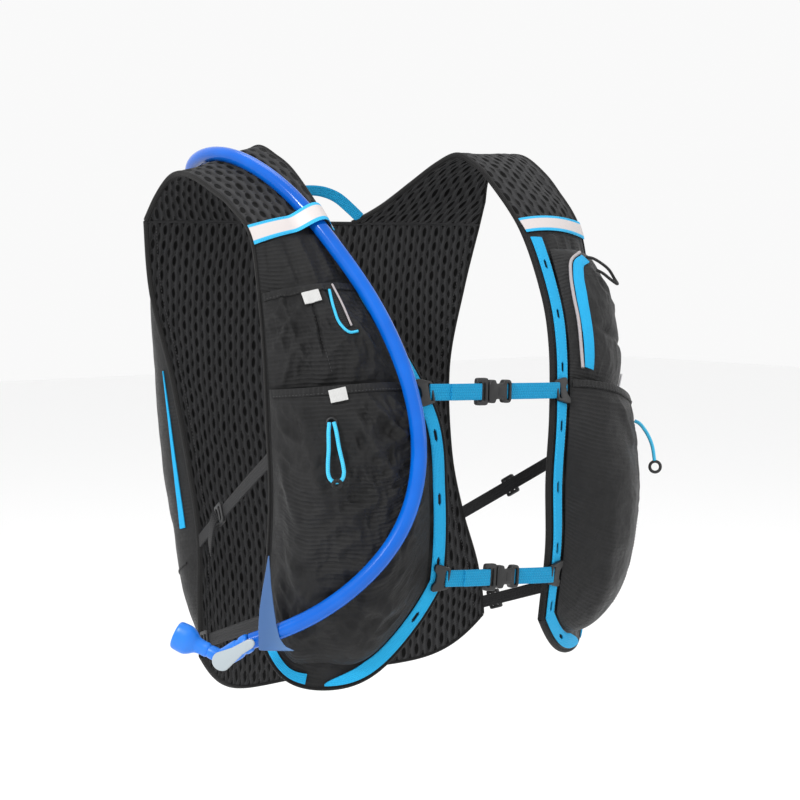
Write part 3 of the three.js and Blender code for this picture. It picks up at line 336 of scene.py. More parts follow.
FINISHES = {
    "mesh": (mesh_cloth(), "mesh_fabric"),
    "ripstop": (ripstop_cloth(), "ripstop_fabric"),
    "binding": (woven("binding_tape", (0.006, 0.006, 0.006), (0.02, 0.0195, 0.0195), 1.3), "black_webbing"),
    "trim": (woven("trim_tape", (0.01, 0.29, 0.6), (0.025, 0.45, 0.8), 1.1), "blue_tape"),
    "blue_web": (woven("blue_webbing", (0.006, 0.2, 0.42), (0.014, 0.33, 0.6), 1.7, 0.55, 0.0006),
                 "blue_webbing"),
    "black_web": (woven("black_webbing", (0.008, 0.008, 0.0085), (0.028, 0.028, 0.029), 1.7, 0.65, 0.0006),
                  "black_webbing"),
    "band": (band_tape(), "reflective_tape"),
    "piping": (woven("piping_tape", (0.3, 0.27, 0.275), (0.5, 0.45, 0.455), 1.0, 0.45, 0.0003, SATIN),
               "reflective_tape"),
    "tab": (woven("tab_cloth", (0.46, 0.46, 0.455), (0.66, 0.66, 0.65), 0.9, 0.6, 0.0003), "tab_fabric"),
    "blue_cord": (woven("blue_cord", (0.02, 0.4, 0.72), (0.06, 0.62, 0.92), 1.4, 0.5, 0.0005, SATIN),
                  "blue_cord"),
    "black_cord": (woven("black_cord", (0.01, 0.01, 0.01), (0.04, 0.04, 0.04), 1.4, 0.6, 0.0005), "black_cord"),
    "thread": (woven("sewing_thread", (0.02, 0.02, 0.021), (0.06, 0.06, 0.062), 0.6, 0.5, 0.0001, SATIN),
               "black_webbing"),
    "blue_thread": (woven("blue_thread", (0.016, 0.4, 0.7), (0.05, 0.6, 0.9), 0.6, 0.5, 0.0001, SATIN),
                    "blue_tape"),
    "buckle": (moulded("buckle_plastic", (0.008, 0.008, 0.0085), 0.42), "buckle_plastic"),
    "hose": (hose_tube(), "hose_plastic"),
    "valve": (moulded("valve_plastic", (0.006, 0.17, 0.68), 0.36, 0.00005), "valve_plastic"),
    "lever": (moulded("lever_plastic", (0.36, 0.41, 0.44), 0.32, 0.00005), "lever_plastic"),
    "fin": (clear_fin(), "fin_plastic"),
    "metal": (moulded("pull_metal", (0.62, 0.62, 0.63), 0.3, 0.00006, Metallic=1.0), "pull_metal"),
}


# Shapes: whole grids of points at once, rows down and columns across

def piece(name, points, faces, finish, stands_for=(), places=None, body="vest", crease=38, lining=None, inner=0):
    """Puts a closed solid into a mesh. points are (n, 3) in millimetres, places are (n, 2) across and along,
    and the first inner faces take the lining's finish."""
    faces = [list(map(int, face)) for block in faces for face in block]
    if volume(points, faces) < 0:
        faces = [face[::-1] for face in faces]
    mesh = bpy.data.meshes.new(name)
    mesh.from_pydata((points * 0.001).tolist(), [], faces)
    material, slot = FINISHES[finish]
    mesh.materials.append(material.material)
    if lining:
        mesh.materials.append(FINISHES[lining][0].material)
        mesh.polygons.foreach_set("material_index", (np.arange(len(faces)) < inner).astype(np.int32))
    mesh.polygons.foreach_set("use_smooth", np.ones(len(faces), bool))
    if places is not None:
        corner = np.empty(len(mesh.loops), np.int32)
        mesh.loops.foreach_get("vertex_index", corner)
        layer = mesh.uv_layers.new(name="UVMap")
        layer.data.foreach_set("uv", (places[corner] * 0.001).astype(np.float32).ravel())
    if crease:
        mesh.set_sharp_from_angle(angle=math.radians(crease))
    thing = bpy.data.objects.new(name, mesh)
    bpy.context.scene.collection.objects.link(thing)
    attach(thing, body)
    if stands_for:
        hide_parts(*([stands_for] if isinstance(stands_for, str) else stands_for))
    return thing


def volume(points, faces):
    """Six times the volume inside the faces, from one triangle fan a face."""
    fans = np.array([(f[0], f[k], f[k + 1]) for f in faces for k in range(1, len(f) - 1)])
    a, b, c = points[fans[:, 0]], points[fans[:, 1]], points[fans[:, 2]]
    return float(np.einsum("ij,ij->", a, np.cross(b, c)))


def shell(lower, upper, keep=None):
    """Closed solid between two grids: the cells that are kept, and a wall where one borders on none."""
    down, across = lower.shape[0] - 1, lower.shape[1] - 1
    keep = np.ones((down, across), bool) if keep is None else keep
    low = np.arange((down + 1) * (across + 1)).reshape(down + 1, across + 1)
    high = low + low.size
    a, b, c, d, ta, tb, tc, td = (grid[i: down + i, j: across + j] for grid in (low, high)
                                  for i, j in ((0, 0), (0, 1), (1, 1), (1, 0)))
    ring = np.pad(keep, 1)
    walls = (
        (keep & ~ring[:-2, 1:-1], (b, a, ta, tb)), (keep & ~ring[1:-1, 2:], (c, b, tb, tc)),
        (keep & ~ring[2:, 1:-1], (d, c, tc, td)), (keep & ~ring[1:-1, :-2], (a, d, td, ta)),
    )
    faces = [np.stack((a, b, c, d), -1)[keep], np.stack((ta, td, tc, tb), -1)[keep]]
    faces += [np.stack(corner, -1)[where] for where, corner in walls]
    points = np.concatenate([lower.reshape(-1, 3), upper.reshape(-1, 3)])
    return points, faces


def tidy(points, faces, places=None):
    """Drops the points that no face uses."""
    used, fresh = np.unique(np.concatenate([f.ravel() for f in faces]), return_inverse=True)
    cuts = np.cumsum([f.size for f in faces])[:-1]
    faces = [part.reshape(-1, 4) for part in np.split(fresh.ravel(), cuts)]
    return points[used], faces, None if places is None else places[used]


def sweep(centres, x_way, y_way, section, closed=False):
    """Profile carried along a path: each section point lies at its x along x_way and its y along y_way."""
    section = np.asarray(section, float)
    rings = centres[:, None] + x_way[:, None] * section[None, :, :1] + y_way[:, None] * section[None, :, 1:2]
    n, m = rings.shape[:2]
    index = np.arange(n * m).reshape(n, m)
    ahead = np.roll(index, -1, axis=0) if closed else index[1:]
    here = index if closed else index[:-1]
    quads = np.stack((here, np.roll(here, -1, axis=1), np.roll(ahead, -1, axis=1), ahead), -1).reshape(-1, 4)
    faces = [quads] if closed else [quads, index[:1, ::-1], index[-1:]]
    run = np.concatenate([[0], np.cumsum(np.linalg.norm(np.diff(centres, axis=0), axis=1))])
    round_it = np.concatenate([[0], np.cumsum(np.linalg.norm(np.diff(section, axis=0), axis=1))])
    places = np.stack(np.broadcast_arrays(round_it[None, :], run[:, None]), -1).reshape(-1, 2)
    return rings.reshape(-1, 3), faces, places


def unit(v):
    return v / np.maximum(np.linalg.norm(v, axis=-1, keepdims=True), 1e-12)


def spline(points, count, closed=False):
    """Points evenly spaced along a Catmull-Rom curve (centripetal) through the given ones."""
    p = np.asarray(points, float)
    before, after = (p[-1:], p[:2]) if closed else (2 * p[:1] - p[1:2], 2 * p[-1:] - p[-2:-1])
    p = np.concatenate([before, p, after])
    knots = np.concatenate([[0], np.cumsum(np.sqrt(np.linalg.norm(np.diff(p, axis=0), axis=1)))])
    s = np.linspace(0, 1, 24, endpoint=False)[:, None]
    parts = []
    for i in range(1, len(p) - 2):
        k0, k1, k2, k3 = knots[i - 1: i + 3]
        x = k1 + s * (k2 - k1)
        a1 = (k1 - x) / (k1 - k0) * p[i - 1] + (x - k0) / (k1 - k0) * p[i]
        a2 = (k2 - x) / (k2 - k1) * p[i] + (x - k1) / (k2 - k1) * p[i + 1]
        a3 = (k3 - x) / (k3 - k2) * p[i + 1] + (x - k2) / (k3 - k2) * p[i + 2]
        b1 = (k2 - x) / (k2 - k0) * a1 + (x - k0) / (k2 - k0) * a2
        b2 = (k3 - x) / (k3 - k1) * a2 + (x - k1) / (k3 - k1) * a3
        parts.append((k2 - x) / (k2 - k1) * b1 + (x - k1) / (k2 - k1) * b2)
    dense = np.concatenate(parts + [p[-2:-1]])
    run = np.concatenate([[0], np.cumsum(np.linalg.norm(np.diff(dense, axis=0), axis=1))])
    even = np.linspace(0, run[-1], count, endpoint=not closed)
    return np.stack([np.interp(even, run, dense[:, k]) for k in range(3)], -1)


def round_section(width, sides, height=None):
    turn = np.arange(sides) * 2 * math.pi / sides
    return np.stack([np.cos(turn) * width / 2, np.sin(turn) * (height or width) / 2], -1)


def travelling(centres, closed=False):
    """Side and upward ways along a path that turn with it as little as they can."""
    run = np.roll(centres, -1, 0) - np.roll(centres, 1, 0) if closed else np.gradient(centres, axis=0)
    run = unit(run)
    side = np.empty_like(run)
    start = np.array([0, 0, 1.0]) if abs(run[0, 2]) < 0.9 else np.array([1.0, 0, 0])
    side[0] = unit(np.cross(start, run[0]))
    for k in range(1, len(run)):
        side[k] = unit(side[k - 1] - run[k] * (side[k - 1] @ run[k]))
    return side, np.cross(run, side)


def cord(name, points, width, count, finish, sides=12, closed=False, **more):
    """Round cord along a smooth curve through points."""
    centres = spline(points, count, closed)
    side, up = travelling(centres, closed)
    points, faces, places = sweep(centres, side, up, round_section(width, sides), closed)
    return piece(name, points, faces, finish, places=places, crease=None if closed else 50, **more)


# Base surfaces of the cloth

def along(column, t):
    """Smooth value of a table's column at t, from 0 at the first row to 1 at the last (Catmull-Rom)."""
    column = np.asarray(column, float)
    place = np.clip(t, 0, 1) * (len(column) - 1)
    i = np.minimum(np.floor(place).astype(int), len(column) - 2)
    f = place - i
    a, b, c, d = (column[np.clip(i + k, 0, len(column) - 1)] for k in (-1, 0, 1, 2))
    return b + 0.5 * f * (c - a + f * (2 * a - 5 * b + 4 * c - d + f * (3 * (b - c) + d - a)))


STRIP = np.array(
    [(nx * TORSO_HALF, nr * BACK_DEPTH, -nd * YOKE_DROP, ax * TORSO_HALF, ar * BACK_DEPTH, -ad * YOKE_DROP,
      c * STRAP_CROWN) for nx, nr, nd, ax, ar, ad, c in OVER_SHOULDER]
    + [(nx * TORSO_HALF, -nr * CHEST_DEPTH, -nd * FRONT_DROP, ax * TORSO_HALF, -ar * CHEST_DEPTH,
        -ad * FRONT_DROP, c * STRAP_CROWN) for nx, nr, nd, ax, ar, ad, c in DOWN_FRONT])
BACK = np.array([(half * TORSO_HALF, edge * BACK_DEPTH, mid * BACK_DEPTH,
                  -YOKE_DROP - drop * (BACK_DROP - YOKE_DROP)) for half, edge, mid, drop in BACK_SECTIONS])


class Surface:
    """A surface of places (u, t). sign turns its normal outwards, and a creased one takes its normals
    from a smooth guide."""

    def __init__(self, point, sign, guide=None):
        self.point, self.sign, self.guide = point, sign, guide or point

    def outward(self, u, t):
        return outward(self.guide, u, t, self.sign)

    def above(self, u, t, height):
        """The point at a height over the surface, along its outward way."""
        return self.point(u, t) + self.outward(u, t) * np.asarray(height)[..., None]


def outward(point, u, t, sign):
    """Unit normal from points a small step away across and down."""
    e = 1e-3
    return unit(sign * np.cross(point(u + e, t) - point(u - e, t), point(u, t + e) - point(u, t - e)))


def strip(side):
    """Straight sections from the neck edge to the arm edge, crowned outwards by crown * 4u(1 - u)."""
    lift = LEFT_SHOULDER_LIFT if side > 0 else 0

    def flat(u, t):
        u, t = np.broadcast_arrays(u, t)
        neck = np.stack([along(STRIP[:, k], t) for k in range(3)], -1)
        arm = np.stack([along(STRIP[:, k], t) for k in range(3, 6)], -1)
        arm[..., 2] += lift * np.maximum(0, np.sin(math.pi * (t - 0.08) / 0.45)) * (t < 0.53)
        return neck + (arm - neck) * u[..., None]

    def point(u, t):
        u, t = np.broadcast_arrays(u, t)
        crown = along(STRIP[:, 6], t) * 4 * u * (1 - u)
        return (flat(u, t) + outward(flat, u, t, -1) * crown[..., None]) * (side, 1, 1)

    return Surface(point, -side)


def back_point(u, v):
    """Middle line's reach, less the fall to the edges as the 2.2nd power of the way out."""
    u, v = np.broadcast_arrays(u, v)
    side = 2 * u - 1
    mid = along(BACK[:, 2], v)
    fall = (mid - along(BACK[:, 1], v)) * np.abs(side) ** 2.2
    return np.stack([side * along(BACK[:, 0], v), mid - fall, along(BACK[:, 3], v)], -1)


BACK_FACE = Surface(back_point, 1)
SIDES = {"right": strip(-1), "left": strip(1)}
middle_line = SIDES["right"].point(0.5, np.linspace(0, 1, 61))
STRIP_LENGTH = float(np.linalg.norm(np.diff(middle_line, axis=0), axis=1).sum())
SEAM = 0.5 * GAP / STRIP_LENGTH


def hem_place(name, a):
    """Lower end of a front panel across it: the front corner rises as (1 - a)^4, the arm corner as a^7."""
    return 1 - {"right": 0.12, "left": 0.06}[name] * (1 - a) ** 4 - 0.06 * np.maximum(a, 0) ** 7


def beside(surface, path, q, distance):
    """Places (u, t) that lie a distance to one side of a path on a surface."""
    e = 1e-3
    u, t = path(q)
    u0, t0 = path(np.maximum(q - e, 0))
    u1, t1 = path(np.minimum(q + e, 1))
    du = (surface.guide(u + e, t) - surface.guide(u - e, t)) / (2 * e)
    dt = (surface.guide(u, t + e) - surface.guide(u, t - e)) / (2 * e)
    run = unit(surface.guide(u1, t1) - surface.guide(u0, t0))
    aside = np.cross(run, surface.outward(u, t)) * (surface.sign * np.asarray(distance))[..., None]
    uu, ut, tt, au, at = (np.einsum("...k,...k->...", a, b) for a, b in (
        (du, du), (du, dt), (dt, dt), (aside, du), (aside, dt)))
    scale = uu * tt - ut * ut
    return u + (au * tt - at * ut) / scale, t + (at * uu - au * ut) / scale


def lengths(grid):
    """Across and along distances of a grid of points, in millimetres, across from the middle column."""
    across = np.concatenate([np.zeros((grid.shape[0], 1)),
                             np.cumsum(np.linalg.norm(np.diff(grid, axis=1), axis=2), axis=1)], 1)
    middle = grid.shape[1] // 2
    down = np.concatenate([[0], np.cumsum(np.linalg.norm(np.diff(grid[:, middle], axis=0), axis=1))])
    return np.stack([across - across[:, middle: middle + 1], np.broadcast_to(down[:, None], across.shape)], -1)


def grid_of(across, down):
    return np.meshgrid(np.linspace(0, 1, across + 1), np.linspace(0, 1, down + 1))


def waves(x, y, scale, seed):
    """Soft unevenness from -1 to 1: a mean of sine waves of about the scale, in many directions."""
    rng = np.random.default_rng(seed)
    turns, phases = rng.uniform(0, 2 * math.pi, 9), rng.uniform(0, 2 * math.pi, 9)
    rates = 2 * math.pi / (scale * rng.uniform(0.7, 1.5, 9))
    return sum(np.sin(r * (x * math.cos(a) + y * math.sin(a)) + p)
               for a, p, r in zip(turns, phases, rates)) / 4.5


def fold(x, y, start, end, width, height):
    """Ridge along a line: height * exp(-(distance / width)^2), fading out past its ends."""
    start, end = np.asarray(start, float), np.asarray(end, float)
    way = end - start
    s = ((x - start[0]) * way[0] + (y - start[1]) * way[1]) / (way @ way)
    near = np.clip(s, 0, 1)
    off = np.hypot(x - start[0] - near * way[0], y - start[1] - near * way[1])
    return height * np.exp(-(off / width) ** 2) * np.clip(1.4 - np.abs(2 * s - 1) ** 3, 0, 1)


def mesh_holes(across, along_it):
    """Depth from 0 to 1 of the mesh's long holes, in the same columns as the finish paints them."""
    def holes(shift, half_across, half_along):
        dx = ((across / MESH_ACROSS + shift) % 1 - 0.5) * MESH_ACROSS / half_across
        dy = ((along_it / MESH_ALONG + shift) % 1 - 0.5) * MESH_ALONG / half_along
        return np.clip(1.2 - dx * dx - dy * dy, 0, 1)
    return np.maximum(holes(0.0, 2.1, 4.6), 0.6 * holes(0.5, 1.6, 3.2))


# Padded mesh pieces: two faces apart by the padding, pinched at their edges, with the mesh's holes sunk in

def padded_cloth(name, surface, place, across, down, finish, stands_for, plain_face=False, free_neck=1.0):
    """A pad over a surface. plain_face makes its outside gathered ripstop, and free_neck is the part of the
    top edge, about its middle, that isn't sewn on to another mesh piece."""
    a, b = grid_of(across, down)
    u, t = place(a, b)
    flat = surface.point(u, t)
    run = lengths(flat)
    x, y = run[..., 0], run[..., 1]
    sides = np.minimum(np.minimum(x - x[:, :1], x[:, -1:] - x), y[-1:] - y)
    edge = np.minimum(sides, y + 100 * (np.abs(2 * u - 1) > free_neck))
    soft = np.sqrt(np.clip(1 - (1 - np.clip(edge / 6, 0, 1)) ** 2, 0, 1))
    plain = np.clip((edge - 9) / 3, 0, 1)
    sunk = mesh_holes(x, y) * plain * 1.15
    uneven = waves(x, y, 45, 3) * 0.8 + waves(x, y, 18, 5) * 0.25
    middle = PAD / 2 + uneven * plain * np.clip(y / 14, 0, 1)
    half = PAD / 2 * (0.55 + 0.45 * soft)
    seam_line = -0.5 * np.exp(-((edge - 8) / 0.8) ** 2)
    normal = surface.outward(u, t)
    lower = flat + normal * (middle - half + sunk - seam_line)[..., None]
    gathers = sum(fold(x, y, (x0, 4), (x0 + lean, 46), 2.2, high) for x0, lean, high in (
        (-26, -4, 1.6), (-16, -5, -1.4), (-8, -6, 1.5), (2, -3, 1.2), (12, -2, -1.2)))
    ripples = (waves(x * 1.6, y * 0.5, 17, 8) * 0.45 + gathers) * plain if plain_face else -sunk
    upper = flat + normal * (middle + half + ripples + seam_line)[..., None]
    points, faces = shell(lower, upper)
    places = np.concatenate([run.reshape(-1, 2)] * 2)
    made = piece(name, points, faces, finish, stands_for, places, crease=60,
                 lining="mesh" if plain_face else None, inner=len(faces[0]))


def bound(name, surface, path, count, width=3.4, finish="binding", height=PAD / 2, thickness=1.0):
    """Folded tape round an edge: an oval tube along a path of places, its thickness a share of the pad's."""
    q = np.linspace(0, 1, count)
    u, t = path(q)
    centres = surface.above(u, t, np.full(count, float(height)))
    normal = surface.outward(u, t)
    run = unit(np.gradient(centres, axis=0))
    side = unit(np.cross(normal, run))
    section = round_section(width, 14, (PAD + 0.9) * thickness)
    points, faces, places = sweep(centres, side, np.cross(run, side), section)
    piece(name, points, faces, finish, places=places, crease=60)


def back_place(a, b):
    u = 0.5 * a + 0.25 - 0.25 * np.cos(math.pi * a)
    return u, b * (1 - 0.135 * np.abs(2 * u - 1) ** 4.5)


def strap_place(a, b):
    return a, 2 * SEAM + b * (BAND_PLACE - 3 * SEAM)


def panel_place(name):
    start = BAND_PLACE + SEAM
    return lambda a, b: (a, start + b * (hem_place(name, a) - start))


padded_cloth("mesh_back", BACK_FACE, back_place, 170, 230, "mesh", "back_panel", free_neck=0.26)
for side in ("right", "left"):
    padded_cloth(f"mesh_strap_{side}", SIDES[side], strap_place, 62, 96, "mesh", f"shoulder_strap_{side}",
                 free_neck=-1.0)
    padded_cloth(f"front_cloth_{side}", SIDES[side], panel_place(side), 66, 170, "ripstop",
                 f"front_panel_{side}", plain_face=True)


for name, a in (("back_edge_right", 0), ("back_edge_left", 1)):
    bound(name, BACK_FACE, lambda q, a=a: back_place(np.full_like(q, a), q), 120)
bound("back_top_seam", BACK_FACE, lambda q: (0.37 + 0.26 * q, np.zeros_like(q)), 60)
bound("yoke_seam_back", BACK_FACE, lambda q: back_place(q, np.zeros_like(q)), 120, 2.0, "mesh")
bound("back_edge_foot", BACK_FACE, lambda q: back_place(q, np.ones_like(q)), 120)
for side in ("right", "left"):
    surface = SIDES[side]
    for edge, a in (("neck", 0.0), ("arm", 1.0)):
        bound(f"strap_{edge}_edge_{side}", surface, lambda q, a=a: strap_place(np.full_like(q, a), q), 90)
        bound(f"panel_{edge}_edge_{side}", surface,
              lambda q, a=a, side=side: panel_place(side)(np.full_like(q, a), q), 140)
    bound(f"panel_foot_edge_{side}", surface, lambda q, side=side: (q, hem_place(side, q)), 90)
    bound(f"yoke_seam_{side}", surface, lambda q: (q, np.full_like(q, 2 * SEAM)), 60, 2.0, "mesh")


# Pack and pockets: thin cloth that stands off what it is sewn to, with its creases

def bag(name, surface, place, height, across, down, stands_for, squeeze=None, creases=None):
    """Wall of cloth between the inside face at a height and the same face moved out. Gives the outer face."""
    def smooth(a, b):
        return surface.above(*place(a, b), height(a, b))

    def creased(a, b):
        return smooth(a, b) + outward(smooth, a, b, surface.sign) * creases(a, b)[..., None]

    inside = Surface(creased if creases else smooth, surface.sign, smooth)
    a, b = grid_of(across, down)
    if squeeze is not None:
        a = np.broadcast_to(squeeze(a[0]), a.shape)
    lower = inside.point(a, b)
    upper = inside.above(a, b, np.full(a.shape, CLOTH))
    run = lengths(upper)
    points, faces = shell(lower, upper)
    piece(name, points, faces, "ripstop", stands_for, np.concatenate([run.reshape(-1, 2)] * 2), crease=65)
    return Surface(lambda a, b: inside.above(a, b, np.full(np.shape(a * b), CLOTH)), surface.sign, smooth)


PACK = np.array(PACK_SECTIONS) * (1, 1, PACK_DEPTH)
SQUARENESS = 2.9


def pack_place(a, b):
    turn = np.cos(math.pi * a)
    swing = np.sign(turn) * np.abs(turn) ** (2 / SQUARENESS)
    return 0.5 - 0.5 * swing * along(PACK[:, 1], b), along(PACK[:, 0], b)


def pack_height(a, b):
    """Superellipse across, deepest in the middle of the back, with slack folds low down and by the mouth."""
    rise = np.abs(np.sin(math.pi * a)) ** (2 / SQUARENESS)
    mouth = PACK_MOUTH * (1 - np.minimum(1, b / 0.4)) ** 2
    x, y = a * 420, b * 380
    creases = (waves(x, y, 70, 11) * 2.2 + waves(x, y * 2.2, 30, 12) * 0.9
               + fold(x, y, (30, 150), (110, 200), 9, -3) + fold(x, y, (390, 150), (310, 210), 9, -3)
               + fold(x, y, (150, 40), (270, 46), 12, -3) + fold(x, y, (25, 250), (130, 262), 8, 2.4)
               + fold(x, y, (395, 260), (300, 268), 8, 2.4))
    return PAD + SEAT + (mouth + np.maximum(0, along(PACK[:, 2], b)) + creases * rise) * rise


def even_round(place, height, surface, count=600):
    """Shares that make even steps round the middle of a bag."""
    a = np.linspace(0, 1, count)
    line = surface.above(*place(a, np.full(count, 0.5)), height(a, np.full(count, 0.5)))
    run = np.concatenate([[0], np.cumsum(np.linalg.norm(np.diff(line, axis=0), axis=1))])
    return lambda share: np.interp(share, run / run[-1], a)


PACK_FACE = bag("pack_bag", BACK_FACE, pack_place, pack_height, 150, 120, "pack_shell",
                squeeze=even_round(pack_place, pack_height, BACK_FACE))


def ribbon(name, surface, path, inner, outer, height, finish, q, columns=None, wall=TAPE, keep=None,
           stands_for=(), taper=0.0):
    """Flat tape beside a path on a surface, between two distances to its side, at a height over it."""
    columns = np.linspace(inner, outer, 9) if columns is None else np.asarray(columns, float)
    q2, d2 = np.meshgrid(q, columns, indexing="ij")
    if taper:
        d2 = inner + (d2 - inner) * (0.12 + 0.88 * np.clip((1 - q2) / taper, 0, 1) ** 0.7)
    u, t = beside(surface, path, q2, d2)
    share = (d2 - inner) / (outer - inner)
    h = height(share, q2) if callable(height) else np.full(q2.shape, float(height))
    thin = np.sqrt(np.clip(1 - np.abs(2 * share - 1) ** 8, 0, 1)) * 0.5 + 0.5
    flat, normal = surface.point(u, t), surface.outward(u, t)
    lower = flat + normal * (h + wall * 0.5 * (1 - thin))[..., None]
    upper = flat + normal * (h + wall * (0.5 + 0.5 * thin))[..., None]
    run = lengths((lower + upper) / 2)[..., 1]
    places = np.stack([d2 - (inner + outer) / 2, run], -1)
    points, faces = shell(lower, upper, keep)
    places = np.concatenate([places.reshape(-1, 2)] * 2)
    if keep is not None:
        points, faces, places = tidy(points, faces, places)
    return piece(name, points, faces, finish, stands_for, places, crease=50)


bound("pack_mouth_edge", PACK_FACE, lambda q: (0.004 + 0.992 * q, np.full_like(q, 0.004)), 160, 3.0, height=-0.6,
      thickness=0.64)
PACK_SEAMS = {
    "pack_seam_right": lambda q: (0.27 + 0.02 * (q - 0.5), 0.01 + 0.97 * q),
    "pack_seam_left": lambda q: (0.73 + 0.02 * (q - 0.5), 0.01 + 0.97 * q),
    "pack_cross_seam": lambda q: (0.05 + 0.9 * q, 0.52 + 0.05 * np.sin(math.pi * q)),
}
for name, seam_path in PACK_SEAMS.items():
    bound(name, PACK_FACE, seam_path, 140 if "cross" in name else 120, 1.6, "ripstop", 0.2, 0.24)

# Blue wedge down each side of the pack: a hair's width at its top, and 6 mm at its foot
for side, a, sign in (("right", 0.035, 1), ("left", 0.965, -1)):
    q = np.linspace(0, 1, 70)[:, None]
    d = np.linspace(-1, 1, 7)[None, :] * (0.4 + 2.6 * q)
    u, t = beside(PACK_FACE, lambda k, a=a, sign=sign: (a + sign * 0.012 * k * k, 0.26 + 0.2 * k),
                  np.broadcast_to(q, (70, 7)), d)
    places = np.stack([d, np.broadcast_to(q * 95, d.shape)], -1).reshape(-1, 2)
    lower, upper = (PACK_FACE.above(u, t, np.full(u.shape, height)) for height in (0.1, 0.9))
    points, faces = shell(lower, upper)
    piece(f"pack_edge_tape_{side}", points, faces, "trim", f"pack_edge_{side}", np.concatenate([places] * 2))


POCKET_CLEAR = TRIM_INSET + TRIM_WIDTH + 2.4
POCKET_ARM_EDGE, CHEST_MOUTH, LOWER_MOUTH, ZIP_TOP = 0.97, 0.566, 0.678, 0.53


def pocket_place(side, top, foot, top_fall=0.0, foot_fall=0.0):
    surface = SIDES[side]
    places = beside(surface, lambda q: (q, hem_place(side, q)), np.linspace(0, 1, 25), np.full(25, POCKET_CLEAR))
    start = top + SEAM

    def place(a, b):
        a, b = np.broadcast_arrays(a, b)

        def across(t):
            neck_edge = POCKET_CLEAR / np.linalg.norm(surface.point(0.0, t) - surface.point(1.0, t), axis=-1)
            return neck_edge + (POCKET_ARM_EDGE - neck_edge) * a

        def down(u):
            first, last = start + top_fall * u, foot - SEAM + foot_fall * u
            return first + (np.minimum(last, np.interp(u, *places)) - first) * b

        t = down(across(down(a)))
        return across(t), t

    return place


def open_bulge(depth, mouth_share, foot_form):
    """Swells from the mouth to the middle, closes at the foot, flat at both sides."""
    def height(a, b):
        sides = 1 - np.abs(2 * np.maximum(a, 0) ** 1.2 - 1) ** 3
        swell = mouth_share + (1 - mouth_share) * np.sin(math.pi / 2 * np.clip(b / 0.5, 0, 1))
        close = np.sqrt(np.clip(1 - np.maximum(b, 0) ** foot_form, 0, 1))
        return PAD + SEAT + depth * np.maximum(0, sides) * swell * close
    return height


def zip_bulge(depth):
    def height(a, b):
        sides = 1 - np.abs(2 * np.maximum(a, 0) ** 1.2 - 1) ** 3
        swell = sides * np.sqrt(np.clip(1 - np.abs(2 * b - 1) ** 3, 0, 1))
        return PAD + SEAT + depth * np.maximum(0, swell)
    return height


CREASE_DEPTH = 1.7


def faded(creases, calm=()):
    """Creases that die out at the pocket's edges, and round places (a, b, reach) where something is sewn on."""
    def height(a, b):
        a, b = np.broadcast_arrays(np.asarray(a, float), np.asarray(b, float))
        near = np.clip(np.minimum(np.minimum(a, 1 - a), np.minimum(b, 1 - b)) / 0.12, 0, 1)
        for a0, b0, reach in calm:
            near = near * (1 - np.exp(-((a - a0) ** 2 + (b - b0) ** 2) / reach ** 2))
        return CREASE_DEPTH * creases(a, b) * near
    return height


def crumpled(x, y, seed, scale, height):
    """Sharp little ridges: the height less the size of soft waves, in two scales."""
    return height * (0.5 - np.abs(waves(x, y, scale, seed)) - 0.5 * np.abs(waves(x, y, scale * 0.45, seed + 1)))


def chest_creases(a, b):
    """From the arm side: a sewn dart in the middle, and soft folds that run down from the mouth."""
    x, y = (1 - a) * 100, b * 55
    return (waves(x, y, 34, 21) * 0.9 + fold(x, y, (47, 2), (44, 40), 1.3, -1.6)
            + fold(x, y, (68, 6), (86, 40), 3, 1.6) + fold(x, y, (10, 12), (30, 44), 3, 1.6)
            + fold(x, y, (18, 0), (24, 30), 2.4, 1.4) + fold(x, y, (60, 0), (62, 26), 2.4, 1.5)
            + crumpled(x, y, 23, 26, 1.5))


def flask_creases(a, b):
    """From the arm side: a gathered patch near the neck side by the mouth, and folds from it to the foot."""
    x, y = (1 - a) * 105, b * 150
    near = np.exp(-(((x - 72) / 26) ** 2 + ((y - 36) / 34) ** 2))
    return (waves(x, y, 48, 31) * 1.6 + crumpled(x, y, 33, 24, 1.0 + 2.6 * near)
            + fold(x, y, (66, 4), (96, 42), 3, 2.6) + fold(x, y, (56, 14), (82, 62), 3.4, 2.4)
            + fold(x, y, (84, 8), (98, 26), 2.4, 2.0) + fold(x, y, (20, 4), (34, 60), 4, 1.8)
            + fold(x, y, (74, 50), (98, 72), 3, -2.0) + fold(x, y, (12, 92), (44, 124), 5, 1.8)
            + fold(x, y, (60, 110), (90, 132), 4, 1.8) + fold(x, y, (4, 40), (18, 70), 3, 1.7)
            + fold(x, y, (30, 30), (52, 38), 2.4, 1.4) + fold(x, y, (36, 96), (80, 88), 3.2, 1.5))


def left_flask_creases(a, b):
    """From the neck side: an upright seam, a slanting tuck beyond it, and long soft folds."""
    x, y = a * 120, b * 150
    return (waves(x, y * 0.4, 40, 41) * 0.8 + crumpled(x, y, 43, 30, 0.35)
            + fold(x, y, (40, 4), (62, 30), 4, 1.4) + fold(x, y, (70, 2), (92, 26), 4, -1.2)
            + fold(x, y, (78, 0), (84, 150), 1.5, -1.6)
            + fold(x, y, (84, 30), (116, 62), 2.4, -2.4) + fold(x, y, (16, 6), (56, 14), 3, 1.2)
            + fold(x, y, (30, 60), (34, 140), 6, 0.9))


def zip_creases(a, b):
    """From the neck side: a tuck across the lower half, and two soft folds above it."""
    x, y = a * 110, b * 80
    return (waves(x, y, 36, 51) * 0.5 + crumpled(x, y, 53, 26, 0.4) + fold(x, y, (44, 12), (90, 24), 4, 0.8)
            + fold(x, y, (30, 50), (95, 56), 2.4, -1.6) + fold(x, y, (46, 26), (92, 36), 3, 0.7))


